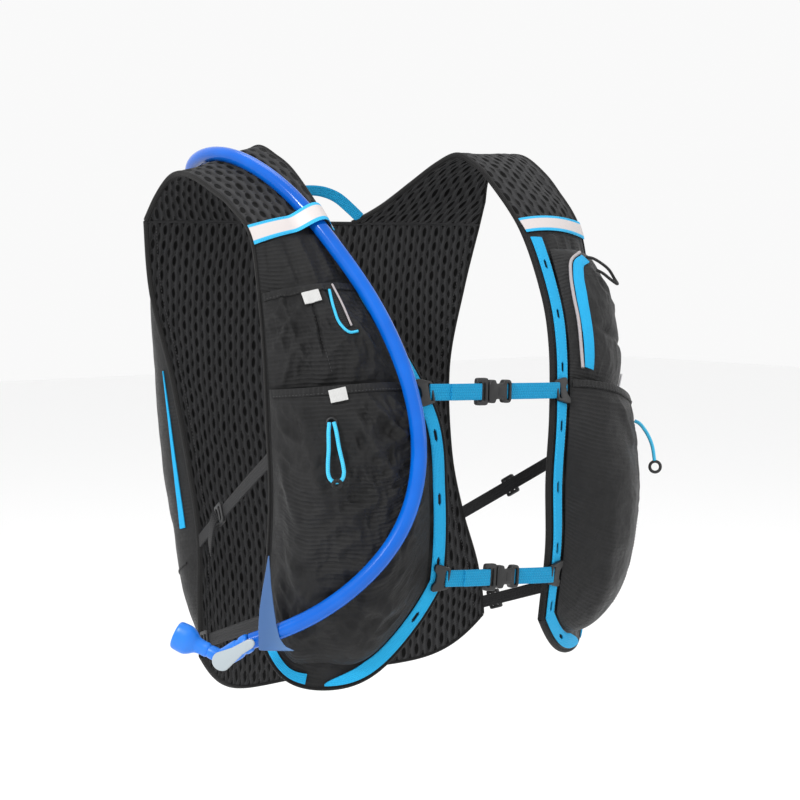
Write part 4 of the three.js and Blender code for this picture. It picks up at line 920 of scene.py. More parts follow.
SEAM_FALL = 0.038
CHEST = bag("chest_bag_right", SIDES["right"], pocket_place("right", CHEST_MOUTH, LOWER_MOUTH),
            open_bulge(7, 0.6, 1.6), 110, 70, "chest_pocket_right",
            creases=faded(chest_creases, [(0.53, 0.12, 0.12), (0.3, 0.2, 0.1), (0.3, 0.4, 0.1)]))
FLASK = bag("flask_bag_right", SIDES["right"], pocket_place("right", LOWER_MOUTH, 1.0),
            open_bulge(17, 0.55, 5), 110, 140, "flask_pocket_right",
            creases=faded(flask_creases, [(0.54, 0.03, 0.1), (0.61, 0.14, 0.06)]))
ZIP_POCKET = bag("zip_bag_left", SIDES["left"], pocket_place("left", ZIP_TOP, LOWER_MOUTH, 0.0, SEAM_FALL),
                 zip_bulge(15), 110, 90, "zip_pocket_left",
                 creases=faded(zip_creases, [(0.14, 0.2, 0.12), (0.14, 0.5, 0.14), (0.14, 0.8, 0.14),
                                             (0.35, 0.08, 0.12)]))
LEFT_FLASK = bag("flask_bag_left", SIDES["left"], pocket_place("left", LOWER_MOUTH, 1.0, SEAM_FALL),
                 open_bulge(33, 0.55, 5), 110, 140, "flask_pocket_left", creases=faded(left_flask_creases))


# Blue tapes of the front edges, with their row of slots, and the bands over the shoulders

BAND_HALF_SHARE, BAND_WIDTH, BAND_BRIDGE = 0.014, 14, {"right": 12.2, "left": 0.0}
FIRST_SLOT, LAST_SLOT = 26.0, 48
TRIM_CORNER, HEM_REACH = 0.72, 0.6


def trim_path(side):
    """Down the neck edge to the front corner, at the share TRIM_CORNER, and on round it along the hem."""
    start, corner = BAND_PLACE + BAND_HALF_SHARE + SEAM, float(hem_place(side, 0.0))

    def path(q):
        a = np.maximum(0, HEM_REACH * (q - TRIM_CORNER) / (1 - TRIM_CORNER))
        return a, np.where(q < TRIM_CORNER, start + (corner - start) * q / TRIM_CORNER, hem_place(side, a))

    return path


for side in ("right", "left"):
    surface = SIDES[side]
    middle = TRIM_INSET + TRIM_WIDTH / 2
    fine = np.linspace(0, 1, 1200)
    line = surface.above(*beside(surface, trim_path(side), fine, np.full(1200, middle)), np.full(1200, PAD))
    run = np.concatenate([[0], np.cumsum(np.linalg.norm(np.diff(line, axis=0), axis=1))])
    centres = np.arange(FIRST_SLOT, run[-1] - LAST_SLOT, SLOT_PITCH)
    cuts = np.concatenate([centres[:, None] + np.array([-0.5, -0.38, 0.38, 0.5]) * SLOT_LENGTH]).ravel()
    stops = np.unique(np.concatenate([np.linspace(0, run[-1], 190), cuts]))
    stops = stops[np.concatenate([[True], np.diff(stops) > 1e-6])]
    off_middle = np.array([TRIM_WIDTH / 2, TRIM_WIDTH / 2 - 0.6, 2.4, SLOT_WIDTH / 2, 0.6])
    columns = np.concatenate([middle - off_middle, middle + off_middle[::-1]])
    cell_s, cell_d = np.meshgrid((stops[1:] + stops[:-1]) / 2, (columns[1:] + columns[:-1]) / 2, indexing="ij")
    off = np.abs(cell_s[..., None] - centres).min(-1)
    keep = ~((off < SLOT_LENGTH / 2) & (np.abs(cell_d - middle) < SLOT_WIDTH / 2)) | (
        (off > 0.38 * SLOT_LENGTH) & (np.abs(cell_d - middle) > 0.6))
    ribbon(f"trim_tape_{side}", surface, trim_path(side), TRIM_INSET, TRIM_INSET + TRIM_WIDTH, PAD + SEAT,
           "trim", np.interp(stops, run, fine), columns, keep=keep, stands_for=f"ladder_trim_{side}", wall=1.0,
           taper=0.13)
    ribbon(f"hem_tape_piece_{side}", surface,
           lambda q, side=side: (0.72 + 0.25 * q, hem_place(side, 0.72 + 0.25 * q)),
           TRIM_INSET, TRIM_INSET + 6, PAD + SEAT, "trim", np.linspace(0, 1, 40), stands_for=f"hem_tape_{side}")

    def band_height(share, q, bridge=BAND_BRIDGE[side]):
        """Lies on the strap, and stands off it by the bridge where the hose runs under."""
        away = np.clip(np.abs(q - 0.262) / 0.29, 0, 1)
        return PAD + SEAT + bridge * np.cos(math.pi / 2 * away) ** 2

    ribbon(f"band_{side}", surface, lambda q: (0.01 + 0.99 * q, np.full_like(q, BAND_PLACE)), -BAND_WIDTH / 2,
           BAND_WIDTH / 2, band_height, "band", np.linspace(0, 1, 90),
           np.linspace(-BAND_WIDTH / 2, BAND_WIDTH / 2, 15), stands_for=f"shoulder_band_{side}")


# Webbing and what it runs through

def strap_of(name, centres, ways, width, finish, stands_for=()):
    """Flat webbing along centres, its width along ways, with rounded long edges."""
    s = np.array([-1, -0.97, -0.85, -0.6, -0.2, 0.2, 0.6, 0.85, 0.97, 1.0])
    top = np.stack([s * width / 2, WEB / 2 * np.sqrt(1 - np.abs(s) ** 10) * 0.94 + WEB * 0.03], -1)
    section = np.concatenate([top, top[::-1] * (1, -1)])
    run = unit(np.gradient(centres, axis=0))
    out = unit(np.cross(ways, run))
    flat = unit(np.cross(run, out))
    points, faces, places = sweep(centres, flat, out, section)
    across = np.broadcast_to(section[None, :, 0], (len(centres), len(section))).reshape(-1, 1)
    places = np.concatenate([across, places[:, 1:]], 1)
    piece(name, points, faces, finish, stands_for, places, crease=50)


CHEST_PLACES = {"upper": {"right": 0.684, "left": 0.69}, "lower": {"right": 0.874, "left": 0.887}}
Z_UP = np.array([0, 0, 1.0])
CHEST_LINES, SIDE_LINES = {}, {}
LOCK_SHARE = {"upper": 0.37, "lower": 0.12}
LADDER_LENGTH, BUCKLE_LENGTH, CHEST_WEB, SIDE_WEB, LOOP_WEB = 11, 21, 12, 10, 9
for level, place in CHEST_PLACES.items():
    ends = []
    for side in ("right", "left"):
        surface = SIDES[side]
        u, t = beside(surface, lambda q, p=place[side]: (0.0 * q, p + 0.02 * (q - 0.5)), np.array(0.5),
                      np.array(TRIM_INSET + TRIM_WIDTH / 2))
        seat = PAD + SEAT + TAPE + GAP + 1.5
        ends.append((surface.above(u, t, np.array(seat)), surface.outward(u, t)))
    span = unit(ends[1][0] - ends[0][0])
    tips = [origin + unit(sign * span - normal * (sign * span @ normal)) * (9 + 2 * GAP)
            for (origin, normal), sign in zip(ends, (1, -1))]
    whole = tips[1] - tips[0]
    length, way = float(np.linalg.norm(whole)), unit(whole)
    clip_start = 0.33 * length
    clip_end = clip_start + LADDER_LENGTH
    socket_end = clip_end + GAP + BUCKLE_LENGTH
    out = unit(np.cross(way, Z_UP))
    CHEST_LINES[level] = tips[0], way, out, clip_start, clip_end, ends
    for side, start, end in (("right", -3.5, clip_start + 3), ("left", socket_end - 3, length + 3.5)):
        s = np.linspace(start, end, 40)
        sag = out * (np.sin(np.linspace(0, math.pi, 40)) * 0.7)[:, None]
        strap_of(f"chest_webbing_{level}_{side}", tips[0] + way * s[:, None] + sag,
                 np.broadcast_to(Z_UP, (40, 3)), CHEST_WEB, "blue_web", f"chest_web_{level}_{side}")
    s = np.linspace(0.38 * clip_start, clip_start + 4, 30)
    strap_of(f"chest_doubling_{level}", tips[0] + way * s[:, None] + out * (WEB + 0.4),
             np.broadcast_to(Z_UP, (30, 3)), CHEST_WEB, "blue_web")

SIDE_PLACES = {"upper": (0.58, 0.75), "lower": (0.83, 0.925)}


def edge_line(surface, u, t):
    e = 0.01
    u, t = np.asarray(u, float), np.asarray(t, float)
    return surface.above(u, t, np.array(PAD / 2)), unit(surface.point(u, t + e) - surface.point(u, t - e))


for level, (back_at, front_at) in SIDE_PLACES.items():
    for side, sign in (("right", -1), ("left", 1)):
        rear, rear_run = edge_line(BACK_FACE, 1.0 if sign > 0 else 0.0, back_at)
        fore, fore_run = edge_line(SIDES[side], 1.0, front_at)
        way = unit(fore - rear)
        s = np.linspace(0, 1, 60)[:, None]
        across = unit(rear_run + (fore_run - rear_run) * s)
        slack = unit(np.cross(way, across) * sign)
        centres = rear + (fore - rear) * s + slack * np.sin(math.pi * s) * 1.2
        k = int(LOCK_SHARE[level] * 59)
        SIDE_LINES[level, side] = centres[k], way, slack[k]
        strap_of(f"side_webbing_{level}_{side}", centres, across, SIDE_WEB, "black_web",
                 f"side_web_{level}_{side}")

# Hang loop, turned from the way of the strap's edge to nearly upright in the middle
right_edge, right_run = edge_line(SIDES["right"], 0.0, 0.03)
left_edge, left_run = edge_line(SIDES["left"], 0.0, 0.03)
right_edge, left_edge = right_edge + (2.6, 0, 0), left_edge - (2.6, 0, 0)
shares = np.array([(0, 0), (0.08, 0.3), (0.22, 0.75), (0.36, 0.95), (0.5, 1), (0.64, 0.95), (0.78, 0.75),
                   (0.92, 0.3), (1, 0)])
loop = right_edge + (left_edge - right_edge) * shares[:, :1] + np.array([0, 6, 22]) * shares[:, 1:]
s = np.linspace(0, 1, 90)[:, None]
near = -np.where(s < 0.5, right_run, left_run)
twist = np.clip(2.5 * np.minimum(s, 1 - s), 0, 1)
strap_of("hang_loop_webbing", spline(loop, 90), unit(near + (unit(np.array([0, 0.45, -1.0])) - near) * twist),
         LOOP_WEB, "blue_web", "hang_loop")

# Free end of the right upper side strap
centre, way, normal = SIDE_LINES["upper", "right"]
tail = [centre - way * (2 + 0.5 * fall) + normal * (2.2 + 0.35 * off) - Z_UP * fall
        for off, fall in ((0, 0), (6, 1.5), (9, 5), (9.5, 12), (8, 20), (4, 25))]
strap_of("side_tail_upper_right", spline(tail, 40), np.broadcast_to(unit(np.cross(normal, way)), (40, 3)),
         LOOP_WEB, "black_web")


# Turned hem along the mouth of each open pocket: a low second layer with an edge that shows
MOUTHS = {"chest": CHEST, "flask": FLASK, "left_flask": LEFT_FLASK}
for name, face in MOUTHS.items():
    ribbon(f"hem_{name}_mouth", face, lambda q: (0.98 - 0.96 * q, np.zeros_like(q)), 0.2, 6, 0.15, "ripstop",
           np.linspace(0, 1, 110), wall=0.9)


def stitches(name, surface, path, distance, height, finish="thread", pitch=2.6, length=1.7, width=0.45):
    """Row of short threads beside a path: each a small four-sided spindle on the cloth."""
    q = np.linspace(0, 1, 900)
    u, t = beside(surface, path, q, np.full(900, float(distance)))
    line = surface.above(u, t, np.full(900, float(height)))
    run = np.concatenate([[0], np.cumsum(np.linalg.norm(np.diff(line, axis=0), axis=1))])
    at = np.arange(pitch, run[-1] - pitch, pitch)
    centre = np.stack([np.interp(at, run, line[:, k]) for k in range(3)], -1)
    ahead = np.stack([np.interp(at + 0.4, run, line[:, k]) for k in range(3)], -1)
    way = unit(ahead - centre)
    share = np.interp(at, run, q)
    normal = surface.outward(*beside(surface, path, share, np.full(len(at), float(distance))))
    side = np.cross(normal, way)
    shape = [(-0.5, 0, -0.2), (-0.25, 0.5, 0), (-0.25, 0, 0.45), (-0.25, -0.5, 0), (0.25, 0.5, 0),
             (0.25, 0, 0.45), (0.25, -0.5, 0), (0.5, 0, -0.2)]
    points = np.stack([centre + way * x * length + side * y * width + normal * z * width * 2
                       for x, y, z in shape], 1)
    base = (np.arange(len(at)) * 8)[:, None]
    blocks = [base + np.array([f]) for f in ((0, 2, 1), (0, 3, 2), (0, 1, 3), (1, 2, 5, 4), (2, 3, 6, 5),
                                             (3, 1, 4, 6), (4, 5, 7), (5, 6, 7), (6, 4, 7))]
    points = points.reshape(-1, 3)
    piece(name, points, blocks, finish, places=points[:, :2].copy(), crease=None)


for side in ("right", "left"):
    for k, d in enumerate((TRIM_INSET + 0.8, TRIM_INSET + TRIM_WIDTH - 0.8)):
        stitches(f"trim_stitches_{side}_{k}", SIDES[side], lambda q, side=side: trim_path(side)(q * 0.86), d,
                 PAD + SEAT + 1.0, "blue_thread")
    for k, d in enumerate((-6.2, 6.2)):
        stitches(f"band_stitches_{side}_{k}", SIDES[side],
                 lambda q: (0.56 + 0.42 * q, np.full_like(q, BAND_PLACE)), d, PAD + SEAT + TAPE + 0.05,
                 "blue_thread", 2.2)
for name, face in MOUTHS.items():
    stitches(f"mouth_stitches_{name}", face, lambda q: (0.97 - 0.94 * q, np.zeros_like(q)), 5.0, 1.1)
stitches("dart_stitches_right", CHEST, lambda q: (0.54 - 0.02 * q, 0.3 + 0.6 * q), 1.5, 0.1)
stitches("pocket_seam_left", LEFT_FLASK, lambda q: (np.full_like(q, 0.6), 0.06 + 0.86 * q), 1.5, 0.1)
for side, a, inwards in (("right", 0.0, 8.0), ("left", 1.0, -8.0)):
    stitches(f"back_edge_stitches_{side}", Surface(BACK_FACE.point, -1),
             lambda q, a=a: back_place(np.full_like(q, a), 0.02 + 0.96 * q), inwards, 0.3)


# Hose, cords and small pieces

SMOOTHING, REACH = 18, 45


def hose_path():
    """The route's curve with each place a bell-shaped mean of those near it, so that no bend is too tight."""
    curve = spline(HOSE_ROUTE, 420)
    bell = np.exp(-0.5 * (np.arange(-REACH, REACH + 1) / SMOOTHING) ** 2)
    held = np.pad(curve, ((REACH, REACH), (0, 0)), mode="reflect", reflect_type="odd")
    return np.stack([np.convolve(held[:, k], bell / bell.sum(), "valid") for k in range(3)], -1)


path = hose_path()
side, up = travelling(path)
points, faces, places = sweep(path, side, up, round_section(HOSE_WIDTH, 28))
hose = piece("drinking_hose", points, faces, "hose", "hose", places, crease=60)


def on(face, a, b, height):
    return face.above(np.asarray(a, float), np.asarray(b, float), np.asarray(height, float))


def laid(face, places, height):
    """Points over a face at places and heights."""
    a, b = np.array(places, float).T
    return on(face, a, b, np.broadcast_to(height, a.shape))


EYELET, ELASTIC = np.array([0.61, 0.12]), 2.8
seat = on(FLASK, *EYELET, GAP + 0.8)
normal = FLASK.outward(*EYELET)
down = unit(on(FLASK, 0.61, 0.22, 3.6) - on(FLASK, *EYELET, 3.6))
aside = np.cross(down, normal)
above_eyelet = 0.8 + GAP + ELASTIC / 2
hang = [(-1.6, 0, 0), (-2.6, 6, 1), (-3.6, 18, 1), (-5.2, 30, 1), (-5.3, 36, 1), (-3.7, 39.8, 1), (0, 41.5, 1),
        (3.7, 39.8, 1), (5.3, 36, 1), (5.2, 30, 1), (3.6, 18, 1), (2.6, 6, 1), (1.6, 0, 0)]
bungee_points = np.array([seat + down * y + aside * x + normal * (above_eyelet + out) for x, y, out in hang])
bungee = cord("bungee_loop_right", bungee_points, ELASTIC, 120, "blue_cord", stands_for="bungee_right")
knot_at = seat + down * 42.5 + normal * (above_eyelet + 1)
knot = [(-2.6, 0, 0.4), (-1.4, -1.8, 1.6), (1.4, -1.6, 1.8), (2.6, 0.4, 0.6), (1.2, 2.2, -0.6),
        (-1.4, 2.0, -0.4)]
cord("bungee_knot_right", [knot_at + aside * x + down * y + normal * z for x, y, z in knot], ELASTIC, 60,
     "black_cord", closed=True)
foot = on(LEFT_FLASK, 0.68, 0.1, 1.5)
normal = LEFT_FLASK.outward(np.array(0.68), np.array(0.1))
left_points = np.array([foot + normal * x - Z_UP * y for x, y in ((0, 0), (4, 3), (10, 12), (14, 22), (16, 34))])
left_bungee = cord("bungee_cord_left", left_points, ELASTIC, 70, "blue_cord", stands_for="bungee_left")

SLIT_EDGE = [(0.327, 0.08), (0.373, 0.287), (0.37, 0.45), (0.32, 0.545), (0.245, 0.54)]
SLIT_PIPING = [(0.267, 0.02), (0.27, 0.24), (0.274, 0.48)]
ZIP_LINE = [(0.4, 0.05), (0.2, 0.11), (0.135, 0.21), (0.107, 0.37), (0.1, 0.6), (0.105, 0.92)]
for name, node, face, places, width, finish in (
    ("slit_edge_cord", "slit_edge_right", CHEST, SLIT_EDGE, 2.0, "blue_cord"),
    ("slit_piping_cord", "slit_piping_right", CHEST, SLIT_PIPING, 1.6, "piping"),
    ("zip_piping_cord", "zip_piping_left", ZIP_POCKET, ZIP_LINE, 2.6, "piping"),
):
    cord(name, laid(face, places, width / 2 + 0.2), width, 90, finish, stands_for=node)


# Painted shade: a black sheet in the slit, between its blue edge and its pale piping, for the shade inside the
# opening
slit_left = laid(CHEST, SLIT_PIPING, 0.25)
slit_right = laid(CHEST, [(0.327, 0.08), (0.373, 0.287), (0.34, 0.5)], 0.25)
s = np.linspace(0, 1, 10)[None, :, None]
lens = spline(slit_left, 40)[:, None] * (1 - s) + spline(slit_right, 40)[:, None] * s
slit_out = CHEST.outward(np.array(0.3), np.array(0.25))
points, faces = shell(lens - slit_out * 0.4, lens + slit_out * 0.25)
# The black sheet stands for the shade inside the slit.
piece("slit_painted_shade", points, faces, "black_web", places=np.concatenate([lengths(lens).reshape(-1, 2)] * 2))


def curve_path(places):
    """Path of shares from 0 to 1 along a smooth curve through places."""
    dense = spline([(a, b, 0) for a, b in places], 200)
    share = np.linspace(0, 1, 200)
    return lambda q: (np.interp(q, share, dense[:, 0]), np.interp(q, share, dense[:, 1]))


ribbon("zip_tape_piece", ZIP_POCKET, curve_path(ZIP_LINE), 2.1, 10.6, SEAT * 0.4, "trim",
       np.linspace(0.01, 0.99, 90), stands_for="zip_tape_left")
pull_points = np.array([on(ZIP_POCKET, a, b, 1.5 + extra) for a, b, extra in (
    (0.47, 0.08, 0), (0.54, 0.09, 2), (0.62, 0.12, 4), (0.71, 0.16, 6), (0.757, 0.217, 7), (0.71, 0.275, 6),
    (0.62, 0.245, 4), (0.56, 0.2, 2), (0.5, 0.175, 0))])
PULL_CORD = 2.4
pull_cord = cord("pull_loop_left", pull_points, PULL_CORD, 90, "black_cord", stands_for="cord_pull_left")

TAB_WIDTH, TAB_LENGTH = 12, 9
for name, node, face, (a, b) in (("tab_chest", "tab_chest_right", CHEST, (0.53, 0.08)),
                                 ("tab_flask", "tab_flask_right", FLASK, (0.54, 0.012))):
    span = float(np.linalg.norm(on(face, a, b, 0) - on(face, a, b + 0.12, 0)))
    ribbon(name, face, lambda q, a=a, b=b, span=span: (np.full_like(q, a), b + 0.12 * q * TAB_LENGTH / span),
           -TAB_WIDTH / 2, TAB_WIDTH / 2, 1.2, "tab", np.linspace(0, 1, 12), stands_for=node, wall=1.0)


# Hard pieces: bevelled plates, turned bodies, and wire

def plate(name, outline, holes, wall, bevel, finish, origin, x_way, z_way, stands_for=(), round_by=0,
          body="vest"):
    """Flat moulding: an outline with holes, as thick as wall, its edges rounded by a bevel."""
    curve = bpy.data.curves.new(name, "CURVE")
    curve.dimensions, curve.fill_mode = "2D", "BOTH"
    for ring in (outline, *holes):
        ring = np.asarray(ring, float)
        if round_by:
            ring = rounded(ring, round_by)
        line = curve.splines.new("POLY")
        line.points.add(len(ring) - 1)
        places = np.pad(ring, ((0, 0), (0, 2)))
        places[:, 3] = 1
        line.points.foreach_set("co", places.astype(np.float32).ravel())
        line.use_cyclic_u = True
    curve.extrude, curve.bevel_depth, curve.bevel_resolution = wall / 2 - bevel, bevel, 2
    curve.offset = -bevel
    holder = bpy.data.objects.new(name + "_curve", curve)
    bpy.context.scene.collection.objects.link(holder)
    drawn = bpy.data.meshes.new_from_object(holder.evaluated_get(bpy.context.evaluated_depsgraph_get()))
    points = np.empty(len(drawn.vertices) * 3, np.float32)
    drawn.vertices.foreach_get("co", points)
    bpy.data.objects.remove(holder)
    merged, back = np.unique(np.round(points.reshape(-1, 3).astype(float), 4), axis=0, return_inverse=True)
    back = back.ravel()
    faces = [[int(back[v]) for v in face.vertices] for face in drawn.polygons]
    faces = [face for face in faces if len(set(face)) == len(face)]
    z = unit(np.asarray(z_way, float))
    y = unit(np.cross(z, x_way))
    points = np.asarray(origin, float) + merged @ np.array([np.cross(y, z), y, z])
    piece(name, points, [faces], finish, stands_for, merged[:, 1::-1].copy(), body, crease=40)


def rounded(ring, radius, steps=4):
    """Outline with each corner cut back by up to the radius and turned in a curve of a few steps."""
    before, after = np.roll(ring, 1, 0), np.roll(ring, -1, 0)
    reach = np.minimum(radius, 0.45 * np.minimum(np.linalg.norm(before - ring, axis=1),
                                                 np.linalg.norm(after - ring, axis=1)))[:, None]
    first, last = ring + unit(before - ring) * reach, ring + unit(after - ring) * reach
    s = np.linspace(0, 1, steps + 1)[None, :, None]
    bend = (1 - s) ** 2 * first[:, None] + 2 * s * (1 - s) * ring[:, None] + s ** 2 * last[:, None]
    return bend.reshape(-1, 2)


def turned(profile, origin, axis, sides=40, flatness=1.0, x_way=None, steps=8):
    """Solid of a radius and height profile turned round an axis, smooth between its points."""
    dense = spline([(r, z, 0) for r, z in profile], steps * len(profile))[:, :2]
    dense[:, 0] = np.maximum(dense[:, 0], 0.02)
    z = unit(np.asarray(axis, float))
    helper = np.array([1.0, 0, 0]) if abs(z[2]) > 0.9 else Z_UP
    x = unit(np.cross(helper, z)) if x_way is None else unit(x_way - z * (np.asarray(x_way) @ z))
    centres = np.asarray(origin, float) + z * dense[:, 1:2]
    return sweep_rings(centres, x, np.cross(z, x) * flatness, dense[:, 0], sides)


def sweep_rings(centres, x, y, radii, sides):
    """Rings of the radii about centres, in the plane of x and y, skinned and closed at both ends."""
    turn = np.arange(sides) * 2 * math.pi / sides
    round_it = x * np.cos(turn)[:, None] + y * np.sin(turn)[:, None]
    points = centres[:, None] + round_it[None] * np.asarray(radii)[:, None, None]
    n = len(centres)
    index = np.arange(n * sides).reshape(n, sides)
    quads = np.stack((index[:-1], np.roll(index[:-1], -1, 1), np.roll(index[1:], -1, 1), index[1:]), -1)
    return points.reshape(-1, 3), [quads.reshape(-1, 4), index[:1, ::-1], index[-1:]]


def together(*solids):
    """Several closed solids as one list of points and faces."""
    points, faces, start = [], [], 0
    for part, blocks in solids:
        faces += [np.asarray(block) + start for block in blocks]
        points.append(part)
        start += len(part)
    return np.concatenate(points), faces


def box_outline(x0, y0, x1, y1):
    return [(x0, y0), (x1, y0), (x1, y1), (x0, y1)]


def mirrored(half):
    """Outline of a half above the long axis, with its image below."""
    return [(x, -y) for x, y in half] + half[::-1]


HOOK = mirrored([(-1.6, 3), (-4, 5.6), (-4, 10), (-0.5, 10), (9, 7.6)])
BUCKLE = mirrored([(-10.5, 6), (-8.5, 8.5), (-4.5, 8.5), (-3.5, 5.6), (2.5, 5.6), (4, 8.5), (9, 8.5), (10.5, 7)])
for level in CHEST_PLACES:
    tip, way, out, clip_start, clip_end, ends = CHEST_LINES[level]
    for side, (origin, normal), sign in zip(("right", "left"), ends, (1, -1)):
        plate(f"chest_hook_plate_{level}_{side}", HOOK, [box_outline(5.2, -6.1, 7.3, 6.1)], 3.0, 0.7, "buckle",
              origin, way * sign, normal, f"chest_hook_{level}_{side}", 1.2)
    middle = tip + way * (clip_start + clip_end) / 2
    plate(f"chest_ladder_{level}", box_outline(-LADDER_LENGTH / 2, -10, LADDER_LENGTH / 2, 10),
          [box_outline(-3.7, -7, -1.2, 7), box_outline(0.6, -6.4, 2.6, 6.4)], 4.2, 1.0, "buckle",
          middle, way, out, f"chest_clip_{level}", 2.6)
    middle = tip + way * (clip_end + GAP + BUCKLE_LENGTH / 2)
    plate(f"chest_buckle_{level}", BUCKLE, [box_outline(6.4, -6, 8.6, 6)], 6.2, 1.4, "buckle", middle, way, out,
          f"chest_socket_{level}", 1.2)
    plate(f"chest_buckle_rib_{level}", box_outline(-2.4, -3.6, 3.2, 3.6), [], 7.0, 0.7, "buckle",
          middle, way, out, (), 1.0)

for (level, side), (centre, way, normal) in SIDE_LINES.items():
    plate(f"side_ladder_{level}_{side}", box_outline(-6.5, -8, 6.5, 8),
          [box_outline(-4.6, -5.4, -1.4, 5.4), box_outline(1.0, -5.4, 4.4, 5.4)], 3.2, 0.8, "buckle",
          centre + normal * 1.2, way, normal, f"side_lock_{level}_{side}", 1.8)

# Bite valve at the hose's end: barrel, spout and the lever's pin, then the cup and the lever
VIEWER = unit(np.array([-0.6, -0.8, 0.05]))
VALVE_WAY, SPOUT_WAY = unit(np.array([-0.5, 0.67, -0.54])), unit(np.array([-0.58, 0.7, 0.4]))
start = HOSE_ROUTE[-1] + VALVE_WAY * 2 * GAP
elbow = start + VALVE_WAY * 24
facing = unit(VIEWER - VALVE_WAY * (VIEWER @ VALVE_WAY))
r = 13.5 / 2
barrel = turned([(0.02, 0), (0.8 * r, 0.05), (0.95 * r, 1.2), (r, 2.4), (r, 6), (0.9 * r, 7.2), (0.9 * r, 9),
                 (r, 10.2), (r, 20), (1.02 * r, 23), (0.95 * r, 26), (0.6 * r, 28), (0.02, 28.6)],
                start, VALVE_WAY)
spout = turned([(0.75 * r, -3), (0.74 * r, 4), (0.72 * r, 9), (0.66 * r, 12)], elbow, SPOUT_WAY)
pin_foot = elbow - VALVE_WAY * 0.3 * r
pin = turned([(2.2, 0), (2.2, r + 2.6), (2.0, r + 2.8), (0.02, r + 2.9)], pin_foot, facing, 20, steps=3)
points, faces = together(barrel, spout, pin)
piece("valve_barrel", points, faces, "valve", "valve_body", points[:, :2].copy(), crease=35)
cup = turned([(0.6 * r, -1), (0.78 * r, 0.4), (0.8 * r, 5), (0.92 * r, 9), (1.3 * r, 12.5), (1.56 * r, 16),
              (1.6 * r, 21), (1.5 * r, 25.6), (1.3 * r, 26.6), (0.9 * r, 26.2), (0.02, 25.6)],
             elbow + SPOUT_WAY * 12.3, SPOUT_WAY, 48, 0.72, np.cross(SPOUT_WAY, facing))
piece("bite_cup", cup[0], cup[1], "valve", "mouthpiece", cup[0][:, :2].copy(), crease=50)
angles = np.linspace(math.pi / 2, 1.5 * math.pi, 17)
lever = [(7 * math.cos(k), 7 * math.sin(k)) for k in angles]
lever += [(16, -3.6), (25, -3.4), (28, -2), (28.6, 0), (28, 2), (25, 3.4), (12, 4.2)]
plate("lever_plate", lever, [], 2.8, 0.9, "lever",
      pin_foot + facing * (r + 2.2 + 1.2), -VALVE_WAY, facing, "valve_lever", body="lever")

# Clear fin before the hose, on its collar
share = int(0.977 * (len(path) - 1))
fin_at, fin_run = path[share], unit(path[share + 1] - path[share - 1])
fin_up = unit(Z_UP - VIEWER * VIEWER[2])
fin = [(-8.2, -10), (-2, -10.4), (17, -10.6), (10.4, -7.4), (6.6, -2), (4.2, 8), (2.2, 22), (0.6, 36), (-0.6, 56),
       (-1.4, 56), (-3.4, 44), (-5.6, 32), (-7.6, 18), (-8.4, 6)]
plate("fin_blade", fin, [], 1.8, 0.5, "fin", fin_at + VIEWER * (HOSE_WIDTH / 2 + 0.8 + 0.9),
      np.cross(fin_up, VIEWER), VIEWER, "hose_fin", 1.5)
inner_r = HOSE_WIDTH / 2 + 0.3
port_run = unit(path[1] - path[0])
for name, at, run, half, finish, node, wide in (
    ("fin_collar", fin_at, fin_run, 4.5, "fin", (), 1.8),
    ("port_collar", path[0] + port_run * 5, port_run, 5.0, "buckle", "hose_port", 2.4),
):
    x = unit(np.cross(Z_UP if abs(run[2]) < 0.9 else np.array([1.0, 0, 0]), run))
    rows = [(inner_r, -half), (inner_r + wide * 0.7, -half), (inner_r + wide, -half + 0.8),
            (inner_r + wide, half - 0.8), (inner_r + wide * 0.7, half), (inner_r, half)]
    turn = np.linspace(0, 2 * math.pi, 37)[:-1, None, None]
    arms = x * np.cos(turn) + np.cross(run, x) * np.sin(turn)
    away, height = np.array(rows).T
    rings = at + arms * away[None, :, None] + run * height[None, :, None]
    index = np.arange(36 * len(rows)).reshape(36, len(rows))
    ahead = np.roll(index, -1, 0)
    quads = np.stack((index, np.roll(index, -1, 1), np.roll(ahead, -1, 1), ahead), -1).reshape(-1, 4)
    rings = rings.reshape(-1, 3)
    piece(name, rings, [quads], finish, node, rings[:, :2].copy(), crease=50)

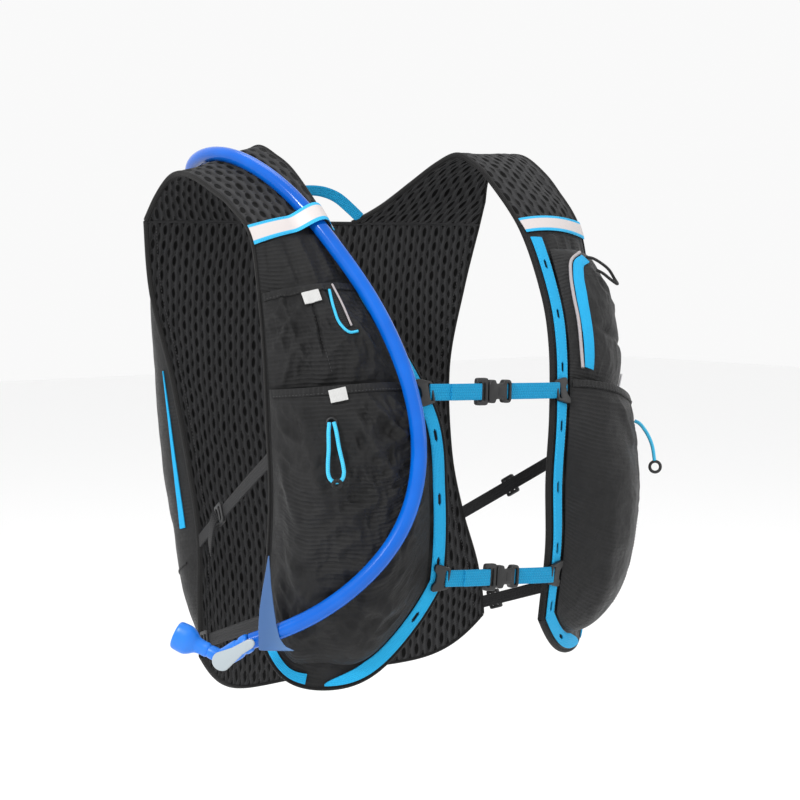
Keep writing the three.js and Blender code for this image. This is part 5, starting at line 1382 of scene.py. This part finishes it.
# Eyelet, the ring on the left cord, and the zip's puller
turn = np.linspace(0, 2 * math.pi, 25)[:-1, None]
eye_normal = FLASK.outward(*EYELET)
eye_side = unit(np.cross(eye_normal, Z_UP))
eye = on(FLASK, *EYELET, 1.0) + (eye_side * np.cos(turn) + np.cross(eye_normal, eye_side) * np.sin(turn)) * 3.2
cord("eyelet_ring", eye, 1.9, 40, "buckle", closed=True, stands_for="eyelet_right")
ring_at = left_points[-1] + np.cross(Z_UP, VIEWER) * 0.5 - Z_UP * 5.0
ring_x = unit(Z_UP - VIEWER * VIEWER[2])
loop = ring_at + (ring_x * np.cos(turn) + np.cross(VIEWER, ring_x) * np.sin(turn)) * 4.2
cord("ring_on_cord_left", loop, 2.4, 48, "buckle", closed=True, stands_for="ring_left")
pull_normal = ZIP_POCKET.outward(np.array(0.8), np.array(0.9))
pull_down = unit(on(ZIP_POCKET, 0.8, 0.95, 0) - on(ZIP_POCKET, 0.8, 0.9, 0))
pull_at = on(ZIP_POCKET, 0.8, 0.9, 1.6)
plate("zip_puller", [(-7.5, -2.2), (-6.5, -4), (6.5, -5), (7.5, -4), (7.5, 4), (6.5, 5), (-6.5, 4), (-7.5, 2.2)],
      [box_outline(2.6, -3, 6, 3)], 1.4, 0.4, "metal", pull_at, pull_down, pull_normal, "zip_pull_left", 1.2)


# Curves through the points of the cords that hang free; nothing is made from them


spline(bungee_points, 200)
spline(left_points, 100)
spline(pull_points, 160)


# Floor and light

FLOOR_LEVEL, FLOOR_HALF = -0.62, 6

def stage_mesh(name, points, faces, finish):
    mesh = bpy.data.meshes.new(name)
    mesh.from_pydata(points, [], faces)
    mesh.materials.append(finish.material)
    thing = bpy.data.objects.new(name, mesh)
    bpy.context.scene.collection.objects.link(thing)


floor = Finish("floor_paint", (0.96, 0.96, 0.96), 0.7, MATT)
corners = [(x * FLOOR_HALF, y * FLOOR_HALF, FLOOR_LEVEL) for x, y in ((-1, -1), (1, -1), (1, 1), (-1, 1))]
stage_mesh("floor", corners, [(0, 1, 2, 3)], floor)

world = bpy.data.worlds.new("studio")
bpy.context.scene.world = world
world.use_nodes = True
world.node_tree.nodes["Background"].inputs["Color"].default_value = (1, 1, 1, 1)
world.node_tree.nodes["Background"].inputs["Strength"].default_value = 0.95


def softbox(name, place, size, power, target=(0, 0, -0.2)):
    lamp = bpy.data.lights.new(name, "AREA")
    lamp.shape, lamp.size, lamp.energy = "SQUARE", size, power
    thing = bpy.data.objects.new(name, lamp)
    thing.location = place
    x, y, z = np.array(target) - np.array(place)
    thing.rotation_euler = (math.atan2(math.hypot(x, y), -z), 0, math.atan2(y, x) - math.pi / 2)
    bpy.context.scene.collection.objects.link(thing)


softbox("key_light", (-1.7, -0.5, 1.0), 0.35, 26)
softbox("fill_light", (1.3, -1.2, 0.3), 0.8, 3)
softbox("top_light", (0.2, 0.4, 1.6), 1.0, 8)
